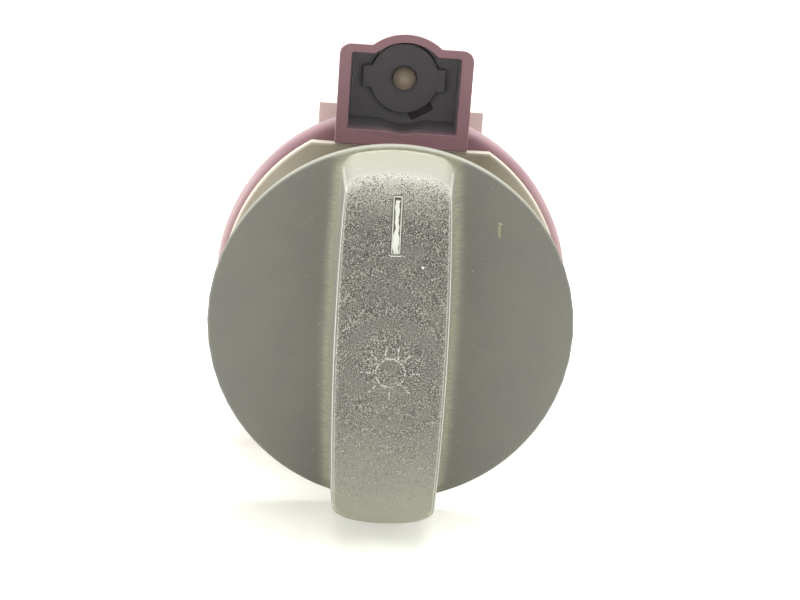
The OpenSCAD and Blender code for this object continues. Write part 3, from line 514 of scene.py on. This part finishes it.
# The holder's nylon is the same, but heat and soot from the lamp have turned it grey.
grey_nylon, tree = bare_material("heated_nylon")
mm = in_mm(tree)
cloud = add(tree, "TexNoise", {"Vector": mm, "Scale": 0.6, "Detail": 4.0, "Roughness": 0.6})
shade = add(tree, "MixRGB", {0: cloud, 1: srgb("#858288"), 2: srgb("#979499")})
grit = add(tree, "TexNoise", {"Vector": mm, "Scale": 4.0, "Detail": 3.0})
bump = add(tree, "Bump", {"Height": grit, "Distance": 0.02 * MM, "Strength": 0.5})
skin = add(tree, "BsdfPrincipled", {"Base Color": shade, "Roughness": 0.6, "Normal": bump})
add(tree, "OutputMaterial", {"Surface": skin})
HOLDER_EDGE = 0.08
holder = eased(copied("lamp_holder", "lamp_holder_moulding"), HOLDER_EDGE)
finished(holder, grey_nylon, "holder_plastic", "lamp_holder", "lamp_holder")
dress("base_screws", zinc_plate)

# Lamp: a sealed capsule of drawn glass, smooth and glossy, browned by its heat. It is pushed
# in the holder.
lamp_glass, tree = bare_material("browned_glass")
mm = in_mm(tree)
cloud = add(tree, "TexNoise", {"Vector": mm, "Scale": 1.4, "Detail": 3.0})
shade = add(tree, "MixRGB", {0: cloud, 1: srgb("#d6c2a4"), 2: srgb("#f0e2cc")})
skin = add(tree, "BsdfPrincipled", {"Base Color": shade, "Roughness": 0.12,
                                    "Transmission Weight": 0.15})
add(tree, "OutputMaterial", {"Surface": skin})
dress("lamp", lamp_glass)

# Spindle: steel, ground round and milled flat where it keys the knob. Grinding leaves fine
# rings round it.
ground_steel, tree = bare_material("ground_steel")
mm = in_mm(tree)
lines = add(tree, "Mapping", {"Vector": mm, "Scale": (0.8, 14.0, 0.8)})
lines = add(tree, "TexNoise", {"Vector": lines, "Scale": 1.0, "Detail": 2.0})
shade = add(tree, "MixRGB", {0: lines, 1: srgb("#a4a5a6"), 2: srgb("#cfcfce")})
rough = add(tree, "MapRange", {"Value": lines, "To Min": 0.18, "To Max": 0.36})
skin = add(tree, "BsdfPrincipled", {"Base Color": shade, "Metallic": 1.0, "Roughness": rough})
add(tree, "OutputMaterial", {"Surface": skin})
dress("spindle", ground_steel)

# Knob: black ABS, moulded in one piece with its hollow finger bar. The outside is worked out
# here with its rounded edges, and the ribs, hub and bore behind are those of the frame.
KNOB_TURN = math.radians(1.3)
DISC_R, RIM_ROUND, ENVELOPE_BACK = 22.47, 0.38, 9.0
BAR_H, BAR_HALF, CROWN_R, SIDE_R = 14.0, 6.5, 140.0, 350.0
DRAFT = math.radians(3.5)
END_FOOT_R, CORNER_R = 22.0, 2.6
EDGE_ROUND, END_ROUND = 0.45, 2.4
ROOT_ROUND = 1.15
SHRINK, WELD_AFTER_CUT = 0.02, 8e-6
SIDE_POINTS, CORNER_POINTS, END_POINTS = 26, 12, 12
RIM_ROWS, DISC_ROWS, ROOT_ROWS, WALL_ROWS, EDGE_ROWS, FACE_ROWS = 6, 14, 7, 11, 19, 15
DISC_SPREAD, ROOT_SHARE, ENDS_FROM, ENDS_OVER = 0.6, 0.8, 0.25, 0.7
SPINE_END = 14.0


def bar_outline(height):
    """The bar's outline at a height above the disc, and the outward way at each point. A
    quarter is three arcs that touch: the bellied side, whose radius grows downwards with the
    draft, the corner, and the end, round the knob's axis. Mirrored copies close the loop."""
    side = SIDE_R - SHRINK + (BAR_H - height) * math.tan(DRAFT)
    end = END_FOOT_R - height * math.tan(DRAFT)
    sx = BAR_HALF - SIDE_R
    cx = (sx ** 2 - (side - CORNER_R) ** 2 + (end - CORNER_R) ** 2) / (2 * sx)
    cy = math.sqrt((end - CORNER_R) ** 2 - cx ** 2)
    a1, a2 = math.atan2(cy, cx - sx), math.atan2(cy, cx)
    ease = np.sin(np.linspace(0, math.pi / 2, SIDE_POINTS + 1))
    a = np.concatenate([a1 * ease, np.linspace(a1, a2, CORNER_POINTS + 1)[1:],
                        np.linspace(a2, math.pi / 2, END_POINTS + 1)[1:]])
    k = np.arange(len(a))
    on_side, on_corner = k <= SIDE_POINTS, k <= SIDE_POINTS + CORNER_POINTS
    c, s = np.cos(a), np.sin(a)
    x = np.where(on_side, sx + side * c, np.where(on_corner, cx + CORNER_R * c, end * c))
    y = np.where(on_side, side * s, np.where(on_corner, cy + CORNER_R * s, end * s))
    loop, out = np.stack([x, y], 1), np.stack([c, s], 1)
    half = lambda q: np.concatenate([q, (q * [-1, 1])[-2::-1]])
    whole = lambda q: np.concatenate([half(q), (half(q) * [1, -1])[-2:0:-1]])
    return whole(loop), whole(out)


def crown_height(xy):
    """Height of the bar's face above the disc: a sphere of the crown's radius."""
    return BAR_H - SHRINK - CROWN_R + np.sqrt(CROWN_R ** 2 - (xy ** 2).sum(1))


def knob_loops():
    """Loops of points from behind the disc to the bar's spine: the rim, its rounding, the
    disc, the root's fillet, the drafted wall, the rounded edge and the crowned face."""
    foot, out = bar_outline(0.0)
    top, _ = bar_outline(BAR_H)
    wall = lambda h: foot + (top - foot) * (np.asarray(h).reshape(-1, 1) / BAR_H)
    n = len(foot)
    flat = lambda h: np.full(n, float(h))
    endness = np.clip((np.abs(out[:, 1]) - ENDS_FROM) / ENDS_OVER, 0, 1)
    endness = endness * endness * (3 - 2 * endness)
    edge_r = EDGE_ROUND + (END_ROUND - EDGE_ROUND) * endness
    room = DISC_R - RIM_ROUND - np.linalg.norm(foot, axis=1)
    root_r = np.minimum(ROOT_ROUND, ROOT_SHARE * room)
    root_out = foot + out * root_r[:, None]
    way = root_out / np.linalg.norm(root_out, axis=1, keepdims=True)
    behind = flat(ENVELOPE_BACK - KNOB_FRONT)
    loops = [(way * 0, behind), (way * DISC_R, behind)]
    for a in np.linspace(0, math.pi / 2, RIM_ROWS):
        r = DISC_R - RIM_ROUND * (1 - math.cos(a))
        loops.append((way * r, flat(RIM_ROUND * (math.sin(a) - 1) - SHRINK)))
    for t in np.linspace(0, 1, DISC_ROWS)[1:] ** DISC_SPREAD:
        loops.append((way * (DISC_R - RIM_ROUND) * (1 - t) + root_out * t, flat(-SHRINK)))
    for a in np.linspace(math.pi / 2, 0, ROOT_ROWS)[1:]:
        h = root_r * (1 - math.sin(a)) - SHRINK
        loops.append((wall(np.maximum(h, 0)) + out * (root_r * (1 - math.cos(a)))[:, None], h))
    centre = wall(flat(BAR_H - 1)) - out * edge_r[:, None]
    centre_h = BAR_H - SHRINK - CROWN_R + np.sqrt((CROWN_R - edge_r) ** 2 - (centre ** 2).sum(1))
    start_h = centre_h + edge_r * math.sin(DRAFT)
    for t in np.linspace(0, 1, WALL_ROWS)[1:-1]:
        h = root_r * (1 - t) + start_h * t
        loops.append((wall(h), h))
    lean_out = (centre * out).sum(1) / CROWN_R
    for t in np.linspace(0, 1, EDGE_ROWS):
        a = DRAFT + (math.pi / 2 - np.arcsin(lean_out) - DRAFT) * t
        loops.append((centre + out * (edge_r * np.cos(a))[:, None], centre_h + edge_r * np.sin(a)))
    rim = loops[-1][0]
    spine = np.stack([0 * rim[:, 0], np.clip(rim[:, 1], -SPINE_END, SPINE_END)], 1)
    for t in np.linspace(1, 0, FACE_ROWS)[1:]:
        xy = spine + (rim - spine) * t
        loops.append((xy, crown_height(xy)))
    return loops


def stood_up(xy, height):
    """Points drawn in the driver's view, at a height in front of the disc, put in the frame
    and turned by the play of the knob's seat."""
    c, s = math.cos(KNOB_TURN), math.sin(KNOB_TURN)
    x, z = c * xy[:, 0] - s * xy[:, 1], s * xy[:, 0] + c * xy[:, 1]
    return np.stack([x, -KNOB_FRONT - height, z], 1)


POINTER_HALF_W, POINTER_HALF_L, POINTER_AT = 0.575, 3.4, 15.7
LIP_ROUND, LIP_POINTS, SLOT_CORNER = 0.085, 48, 0.08
TOOL_DEPTH, TOOL_RISE, TOOL_GROW, FLARE_START, FLARE_ROWS = 0.35, 0.5, 0.01, 0.3, 5


def slot_lip():
    """The tool that rounds the edge of the pointer's slot: a rectangle with round corners is
    carried up out of the slot, and flares outwards along a quarter circle at the face."""
    a = np.linspace(0, 2 * math.pi, LIP_POINTS, endpoint=False) + math.pi / LIP_POINTS
    corner = np.stack([np.sign(np.cos(a)), np.sign(np.sin(a))], 1)
    out = np.stack([np.cos(a), np.sin(a)], 1)
    middle = [0, POINTER_AT] + 0 * out
    slot = middle + corner * [POINTER_HALF_W - SLOT_CORNER, POINTER_HALF_L - SLOT_CORNER]
    rows = [(-TOOL_DEPTH, TOOL_GROW), (-LIP_ROUND, TOOL_GROW)]
    rows += [(LIP_ROUND * (math.sin(t) - 1), TOOL_GROW + LIP_ROUND * (1 - math.cos(t)))
             for t in np.linspace(FLARE_START, math.pi / 2, FLARE_ROWS)]
    rows += [(TOOL_RISE, TOOL_GROW + LIP_ROUND)]
    rows = [(slot + out * (SLOT_CORNER + grow), rise) for rise, grow in rows]
    rows = [(middle, -TOOL_DEPTH)] + rows + [(middle, TOOL_RISE)]
    loops = [stood_up(xy, crown_height(xy) + rise) for xy, rise in rows]
    return welded(new_piece("slot_lip", np.concatenate(loops), loft_faces(len(loops), len(a))))


loops = knob_loops()
skin_points = np.concatenate([stood_up(xy, h) for xy, h in loops])
skin_piece = welded(new_piece("knob_skin", skin_points, loft_faces(len(loops), len(loops[0][0]))))
knob = copied("knob", "knob_moulding", flat=False)
carve(skin_piece, slot_lip(), "DIFFERENCE")
carve(knob, skin_piece, "INTERSECT")
smooth(welded(knob, WELD_AFTER_CUT))


def knob_places(points):
    """Where points in metres lie in the knob's own view: across, along, and in front."""
    p = points / MM
    c, s = math.cos(KNOB_TURN), math.sin(KNOB_TURN)
    return np.stack([c * p[:, 0] + s * p[:, 2], c * p[:, 2] - s * p[:, 0]], 1), -KNOB_FRONT - p[:, 1]


def paint(obj, name, values):
    """Stores one number a point, for the material to read."""
    obj.data.attributes.new(name, "FLOAT", "POINT").data.foreach_set("value", values.astype(np.float32))


# The numbers that the material reads: the bar's grained face, the two lines along each long edge,
# worn and with painted highlights, the painted highlights on the corners at the ends, and the dust
# round the bar's foot.
FACE_FROM, FACE_BLUR, FACE_DEPTH, DEPTH_BLUR = 0.1, 0.3, 2.6, 1.6
EDGE_LINES = ((30, 9, 1.0), (74, 8, 0.45))
CORNER_IN, CORNER_WIDE, CORNER_FROM, CORNER_GLINT = 0.2, 0.07, 17.0, 0.6
DUST_OUT, DUST_UP = 1.0, 5.0
BAR_FROM_H = 2.0
points = np.empty(len(knob.data.vertices) * 3, np.float32)
knob.data.vertices.foreach_get("co", points)
xy, h = knob_places(points.reshape(-1, 3).astype(float))
bump_in = lambda v, at, wide: np.exp(-((v - at) / wide) ** 2)
below = crown_height(xy) - h
side_x = BAR_HALF - SIDE_R + np.sqrt((SIDE_R + (BAR_H - h) * math.tan(DRAFT)) ** 2 - xy[:, 1] ** 2)
inwards = side_x - np.abs(xy[:, 0])
on_bar = (h > BAR_FROM_H) & (np.hypot(xy[:, 0], xy[:, 1]) < END_FOOT_R)
inside = np.clip((inwards - FACE_FROM) / FACE_BLUR, 0, 1)
paint(knob, "face", inside * np.clip((FACE_DEPTH - below) / DEPTH_BLUR, 0, 1) * on_bar)
# The two lines lie at fixed angles round the edge's rounding: wear with painted highlights. The corners
# are painted highlights.
roll = np.degrees(np.arctan2(EDGE_ROUND - below, EDGE_ROUND - inwards))
lines = np.max([wear_and_glint * bump_in(roll, at, wide) for at, wide, wear_and_glint in EDGE_LINES], 0)
lines = lines * (inwards < EDGE_ROUND) * (below < EDGE_ROUND)
corner = CORNER_GLINT * bump_in(inwards, CORNER_IN, CORNER_WIDE)
corner = corner * (np.abs(xy[:, 1]) > CORNER_FROM) * (below > EDGE_ROUND)
paint(knob, "edge", np.maximum(lines, corner) * on_bar)
outside, up_wall = np.maximum(-inwards, 0) / DUST_OUT, np.maximum(h, 0) / DUST_UP
paint(knob, "dust", np.exp(-outside ** 2 - up_wall ** 2) * (h > -0.1))

# Grained ABS: the mould's face was spark-eroded, so the bar has a grain of 0.1 to 0.2 mm whose
# tops have worn pale. On the disc it is faint. The bar's lower end is paler with dust and painted
# light reflected from the card, its upper end with a painted highlight, and what faces up with
# painted top light; the long edges are rubbed bright with painted highlights, and dust sits along
# the foot of the bar.
GRAIN_PER_MM, GRAIN_FADE = 7.5, (-19.5, -3.0)
LOW_DUST_AND_REFLECTION, CROWN_HIGHLIGHT, STRIP_TOP_LIGHT = (-6.0, -21.0), (14.5, 20.2), (20.7, 21.5)
# The belt is the fillet at the foot of the bar's upper end, which is kept out of the painted top
# light, and the strip is the disc above that end, with the foot of the wall, painted paler with top
# light. Both lie this far before the disc's face.
BELT_AT, BELT_HALF, STRIP_AT, STRIP_HALF = 0.14, (0.12, 0.22), 0.45, (0.5, 0.6)
# A chip on the bar and a scratch on the disc, as ellipses seen from the front: across, up, lean
# in degrees, half width, half height and colour. The scratch's dark, narrow ellipse is painted
# shade in its groove.
MARKS = ((3.15, 11.07, 0, 0.16, 0.13, "#f4f4ec"), (12.55, 12.75, 3, 0.2, 0.95, "#a19e80"),
         (12.85, 12.6, 8, 0.08, 0.75, "#75725e"), (12.6, 13.65, 80, 0.09, 0.3, "#b4b196"))
THROUGH = 1e3
grained_abs, tree = bare_material("grained_abs")
mm = in_mm(tree)
turned = add(tree, "Mapping", {"Vector": mm, "Rotation": (0, KNOB_TURN, 0)})
axis = add(tree, "SeparateXYZ", {0: turned})
face = add(tree, "Attribute", attribute_name="face")
edge = add(tree, "Attribute", attribute_name="edge")
dust = add(tree, "Attribute", attribute_name="dust")
cloud = add(tree, "TexNoise", {"Vector": mm, "Scale": 0.16, "Detail": 5.0, "Roughness": 0.55})
least = add(tree, "MapRange", {"Value": face.outputs["Fac"], "To Min": 0.4, "To Max": 0.0})
cloud = add(tree, "MapRange", {"Value": cloud, "From Min": 0.38, "From Max": 0.6, "To Min": least,
                               "To Max": 0.6})
shade = add(tree, "MixRGB", {0: cloud, 1: srgb("#74716f"), 2: srgb("#82837a")})
# Dust and painted light reflected from the card make the face paler towards the bar's lower end.
painted_light = add(tree, "MapRange", {"Value": axis.outputs["Z"], "From Min": LOW_DUST_AND_REFLECTION[0],
                               "From Max": LOW_DUST_AND_REFLECTION[1], "To Max": 0.9})
painted_light = add(tree, "Math", {0: painted_light, 1: face.outputs["Fac"]}, operation="MULTIPLY")
shade = add(tree, "MixRGB", {0: painted_light, 1: shade, 2: srgb("#a8a695")})
# Painted highlight: the face turns pale towards the rounded upper end of the bar.
crown = add(tree, "MapRange", {"Value": axis.outputs["Z"], "From Min": CROWN_HIGHLIGHT[0],
                               "From Max": CROWN_HIGHLIGHT[1]})
crown = add(tree, "Math", {0: crown, 1: 2.2}, operation="POWER")
crown = add(tree, "Math", {0: crown, 1: face.outputs["Fac"]}, operation="MULTIPLY")
shade = add(tree, "MixRGB", {0: crown, 1: shade, 2: srgb("#dbdacf")})
# Painted top light: what faces up is paler, less so on the belt.
top_lit = add(tree, "TexCoord")
top_lit = add(tree, "SeparateXYZ", {0: top_lit.outputs["Normal"]})
top_lit = add(tree, "MapRange", {"Value": top_lit.outputs["Z"], "From Min": 0.2, "From Max": 0.8,
                               "To Max": 0.72})
belt = add(tree, "Math", {0: axis.outputs["Y"], 1: KNOB_FRONT + BELT_AT}, operation="ADD")
belt = add(tree, "Math", {0: belt}, operation="ABSOLUTE")
belt = add(tree, "MapRange", {"Value": belt, "From Min": BELT_HALF[0], "From Max": BELT_HALF[1],
                              "To Min": 0.1, "To Max": 1.0})
top_lit = add(tree, "Math", {0: top_lit, 1: belt}, operation="MULTIPLY")
shade = add(tree, "MixRGB", {0: top_lit, 1: shade, 2: srgb("#a9a999")})
# Painted top light: the strip above the bar's upper end is paler.
strip = add(tree, "MapRange", {"Value": axis.outputs["Z"], "From Min": STRIP_TOP_LIGHT[0],
                               "From Max": STRIP_TOP_LIGHT[1], "To Max": 0.85})
foot = add(tree, "Math", {0: axis.outputs["Y"], 1: KNOB_FRONT + STRIP_AT}, operation="ADD")
foot = add(tree, "Math", {0: foot}, operation="ABSOLUTE")
foot = add(tree, "MapRange", {"Value": foot, "From Min": STRIP_HALF[0], "From Max": STRIP_HALF[1],
                              "To Min": 1.0, "To Max": 0.0})
strip = add(tree, "Math", {0: strip, 1: foot}, operation="MULTIPLY")
shade = add(tree, "MixRGB", {0: strip, 1: shade, 2: srgb("#c6c5b3")})
grain = add(tree, "TexNoise", {"Vector": mm, "Scale": GRAIN_PER_MM, "Detail": 1.5, "Roughness": 0.5})
tops = add(tree, "MapRange", {"Value": grain, "From Min": 0.55, "From Max": 0.68})
pits = add(tree, "MapRange", {"Value": grain, "From Min": 0.54, "From Max": 0.37})
along = add(tree, "MapRange", {"Value": axis.outputs["Z"], "From Min": GRAIN_FADE[0],
                               "From Max": GRAIN_FADE[1], "To Min": 0.05, "To Max": 1.0})
patches = add(tree, "TexNoise", {"Vector": mm, "Scale": 0.45, "Detail": 2.0})
patches = add(tree, "MapRange", {"Value": patches, "From Min": 0.34, "From Max": 0.5, "To Min": 0.5,
                                 "To Max": 1.0})
along = add(tree, "Math", {0: along, 1: patches}, operation="MULTIPLY")
strong = add(tree, "Math", {0: face.outputs["Fac"], 1: along}, operation="MULTIPLY")
weak = add(tree, "Math", {0: strong, 1: 0.92, 2: 0.04}, operation="MULTIPLY_ADD")
tops = add(tree, "Math", {0: tops, 1: weak}, operation="MULTIPLY")
pits = add(tree, "Math", {0: pits, 1: weak}, operation="MULTIPLY")
shade = add(tree, "MixRGB", {0: tops, 1: shade, 2: srgb("#c4c3b5")})
shade = add(tree, "MixRGB", {0: pits, 1: shade, 2: srgb("#363532")})
fluff = add(tree, "Mapping", {"Vector": mm, "Scale": (0.8, 1.0, 4.0)})
fluff = add(tree, "TexNoise", {"Vector": fluff, "Scale": 1.0, "Detail": 4.0})
fluff = add(tree, "MapRange", {"Value": fluff, "From Min": 0.3, "From Max": 0.6, "To Min": 0.35,
                               "To Max": 1.0})
dusty = add(tree, "Math", {0: dust.outputs["Fac"], 1: fluff}, operation="MULTIPLY")
shade = add(tree, "MixRGB", {0: dusty, 1: shade, 2: srgb("#9f9e88")})
motes = add(tree, "TexVoronoi", {"Vector": mm, "Scale": 0.7})
motes = add(tree, "Math", {0: motes, 1: 0.07}, operation="LESS_THAN")
close = add(tree, "Math", {0: axis.outputs["X"]}, operation="ABSOLUTE")
close = add(tree, "MapRange", {"Value": close, "From Min": 12.0, "From Max": 8.0, "To Min": 0.1,
                               "To Max": 0.6})
motes = add(tree, "Math", {0: motes, 1: close}, operation="MULTIPLY")
shade = add(tree, "MixRGB", {0: motes, 1: shade, 2: srgb("#c4c2b2")})
# Rubbed edges with painted highlight lines, paler where the grain allows.
worn_and_glint = add(tree, "MapRange", {"Value": grain, "From Min": 0.3, "From Max": 0.55, "To Min": 0.5,
                              "To Max": 1.0})
worn_and_glint = add(tree, "Math", {0: edge.outputs["Fac"], 1: worn_and_glint}, operation="MULTIPLY")
shade = add(tree, "MixRGB", {0: worn_and_glint, 1: shade, 2: srgb("#f2f1e6")})
for x, z, lean_a, wide, tall, colour in MARKS:
    mark = add(tree, "Mapping", {"Vector": turned, "Location": (x, 0, z),
                                 "Scale": (wide, THROUGH, tall),
                                 "Rotation": (0, -math.radians(lean_a), 0)}, vector_type="TEXTURE")
    mark = add(tree, "VectorMath", {0: mark}, operation="LENGTH")
    mark = add(tree, "MapRange", {"Value": mark.outputs["Value"], "From Min": 1.1, "From Max": 0.8})
    shade = add(tree, "MixRGB", {0: mark, 1: shade, 2: srgb(colour)})
deep = add(tree, "Math", {0: face.outputs["Fac"], 1: 0.035, 2: 0.008}, operation="MULTIPLY_ADD")
bump = add(tree, "Math", {0: grain, 1: deep}, operation="MULTIPLY")
bump = add(tree, "Bump", {"Height": bump, "Distance": MM, "Strength": 1.0})
rough = add(tree, "MapRange", {"Value": face.outputs["Fac"], "To Min": 0.55, "To Max": 0.46})
skin = add(tree, "BsdfPrincipled", {"Base Color": shade, "Roughness": rough, "Normal": bump})
add(tree, "OutputMaterial", {"Surface": skin})

# The same ABS at the rounded lip of the slot, where the grain is rubbed away; its pale colour is
# a painted highlight of the rounded edge.
worn_abs_highlight, tree = bare_material("worn_abs_highlight")
mm = in_mm(tree)
chips = add(tree, "TexNoise", {"Vector": mm, "Scale": 2.5, "Detail": 3.0})
shade = add(tree, "MixRGB", {0: chips, 1: srgb("#f0efe4"), 2: srgb("#fffff8")})
skin = add(tree, "BsdfPrincipled", {"Base Color": shade, "Roughness": 0.5})
add(tree, "OutputMaterial", {"Surface": skin})

finished(knob, grained_abs, "knob_plastic", "knob", "knob")
knob.data.materials.append(worn_abs_highlight)
LINE_TOP, LIP_IN, LIP_OUT, LIP_UNDER = 18.9, -0.005, LIP_ROUND + 0.03, LIP_ROUND + 0.05
aside = (np.abs(xy - [0, POINTER_AT]) - [POINTER_HALF_W, POINTER_HALF_L]).max(1)
near = (aside < LIP_OUT) & (aside > LIP_IN) & (below < LIP_UNDER) & (xy[:, 1] < LINE_TOP)
corners = np.empty(len(knob.data.loops), np.int32)
knob.data.loops.foreach_get("vertex_index", corners)
starts = np.empty(len(knob.data.polygons), np.int32)
knob.data.polygons.foreach_get("loop_start", starts)
on_lip = np.minimum.reduceat(near[corners].astype(np.int32), starts)
knob.data.polygons.foreach_set("material_index", on_lip)

# Pointer: white enamel wiped in the slot, worn narrow at the top and chipped at the sides.
NARROWING, FILL_HALF, FILL_END = (14.2, 15.2), (0.34, 0.22), (18.35, 18.5)
WOBBLE = (-0.12, 0.14)
BORDER_X, BORDER_Z, BORDER_MIDDLE = 0.38, 3.16, 15.6
enamel, tree = bare_material("white_enamel")
mm = in_mm(tree)
turned = add(tree, "Mapping", {"Vector": mm, "Rotation": (0, KNOB_TURN, 0)})
axis = add(tree, "SeparateXYZ", {0: turned})
wobble = add(tree, "TexNoise", {"Vector": mm, "Scale": 0.8, "Detail": 4.0})
offset = add(tree, "MapRange", {"Value": wobble, "From Min": 0.3, "From Max": 0.7, "To Min": WOBBLE[0],
                                "To Max": WOBBLE[1]})
across = add(tree, "Math", {0: axis.outputs["X"], 1: offset}, operation="ADD")
across = add(tree, "Math", {0: across}, operation="ABSOLUTE")
half = add(tree, "MapRange", {"Value": axis.outputs["Z"], "From Min": NARROWING[0],
                              "From Max": NARROWING[1], "To Min": FILL_HALF[0], "To Max": FILL_HALF[1]})
left = add(tree, "Math", {0: half, 1: across}, operation="SUBTRACT")
left = add(tree, "MapRange", {"Value": left, "From Min": -0.03, "From Max": 0.03})
above = add(tree, "MapRange", {"Value": axis.outputs["Z"], "From Min": FILL_END[0],
                               "From Max": FILL_END[1], "To Min": 1.0, "To Max": 0.0})
fill = add(tree, "Math", {0: left, 1: above}, operation="MULTIPLY")
# Painted highlight: a white border round the fill, along the slot's edges.
beside = add(tree, "Math", {0: axis.outputs["X"]}, operation="ABSOLUTE")
beside = add(tree, "Math", {0: beside, 1: BORDER_X}, operation="GREATER_THAN")
ends = add(tree, "Math", {0: axis.outputs["Z"], 1: BORDER_MIDDLE}, operation="SUBTRACT")
ends = add(tree, "Math", {0: ends}, operation="ABSOLUTE")
ends = add(tree, "Math", {0: ends, 1: BORDER_Z}, operation="GREATER_THAN")
slot_edge_highlight = add(tree, "Math", {0: beside, 1: ends}, operation="MAXIMUM")
fill = add(tree, "Math", {0: fill, 1: slot_edge_highlight}, operation="MAXIMUM")
shade = add(tree, "MixRGB", {0: fill, 1: srgb("#5d5949"), 2: srgb("#fdfdf6")})
dirt = add(tree, "Math", {0: axis.outputs["Z"], 1: LINE_TOP}, operation="GREATER_THAN")
shade = add(tree, "MixRGB", {0: dirt, 1: shade, 2: srgb("#77776f")})
skin = add(tree, "BsdfPrincipled", {"Base Color": shade, "Roughness": 0.4})
add(tree, "OutputMaterial", {"Surface": skin})
dress("pointer_inlay", enamel)

# Symbol: the outline of a shining bulb, pad-printed on the bar and nearly rubbed away, so
# that it is drawn as separate dabs of the ink that is left.
BULB_AT, BULB_R = (0.05, -1.4), 1.68
CAP_X, CAP_Z = (-0.57, 0.9), (0.35, 1.55)
RAY_FROM, RAY_TO, RAY_ANGLES = 2.35, 3.3, (0, 45, 135, 180, 225, 270, 315)
LINE_W, PRINT_LIFT, DASH, KEPT = 0.17, 0.012, 0.2, 0.86
JITTER, SMALLEST, LARGEST = 0.02, 0.5, 1.15
DAB = ((-1, -1), (1, -0.7), (0.8, 1), (-0.9, 0.8))


def symbol_line(start, end, centre=None):
    """Points a dash apart along a straight line, or along an arc about a centre whose start
    and end are given as (radius, angle), with the way that the line runs."""
    if centre is None:
        a, b = np.array(start, float), np.array(end, float)
        n = max(2, int(np.linalg.norm(b - a) / DASH) + 1)
        at = a + (b - a) * np.linspace(0, 1, n)[:, None]
        return at, np.tile((b - a) / np.linalg.norm(b - a), (n, 1))
    turn = np.linspace(start[1], end[1], max(2, int(start[0] * abs(end[1] - start[1]) / DASH)))
    round_ = np.stack([np.cos(turn), np.sin(turn)], 1)
    return np.array(centre) + start[0] * round_, np.stack([-round_[:, 1], round_[:, 0]], 1)


strokes = [symbol_line((BULB_R, 0), (BULB_R, 2 * math.pi), BULB_AT)]
strokes += [symbol_line((x, CAP_Z[0]), (x, CAP_Z[1])) for x in CAP_X]
strokes += [symbol_line((CAP_X[0], z), (CAP_X[1], z)) for z in CAP_Z]
for way in np.radians(RAY_ANGLES):
    ray = np.array([math.cos(way), math.sin(way)])
    strokes.append(symbol_line(np.array(BULB_AT) + RAY_FROM * ray, np.array(BULB_AT) + RAY_TO * ray))
at = np.concatenate([s[0] for s in strokes])
way = np.concatenate([s[1] for s in strokes])
chance = np.random.default_rng(7)
kept = chance.random(len(at)) < KEPT
at, way = at[kept] + chance.normal(0, JITTER, (kept.sum(), 2)), way[kept]
side = np.stack([-way[:, 1], way[:, 0]], 1)
size = chance.uniform(SMALLEST, LARGEST, (len(at), 1))
corners = [at + way * size * DASH * a / 2 + side * size * LINE_W * b / 2 for a, b in DAB]
dots = np.stack(corners, 1).reshape(-1, 2)
quads = np.arange(len(dots)).reshape(-1, 4)
symbol = new_piece("lamp_symbol", stood_up(dots, crown_height(dots) + PRINT_LIFT), quads)

# Printing ink is matt and white, and greyed where the plastic shows through.
print_paint, tree = bare_material("rubbed_print")
mm = in_mm(tree)
cloud = add(tree, "TexNoise", {"Vector": mm, "Scale": 2.0, "Detail": 2.0})
shade = add(tree, "MixRGB", {0: cloud, 1: srgb("#b2b3ae"), 2: srgb("#ebebe6")})
skin = add(tree, "BsdfPrincipled", {"Base Color": shade, "Roughness": 0.5})
add(tree, "OutputMaterial", {"Surface": skin})
finished(symbol, print_paint, "pointer_white", "knob")
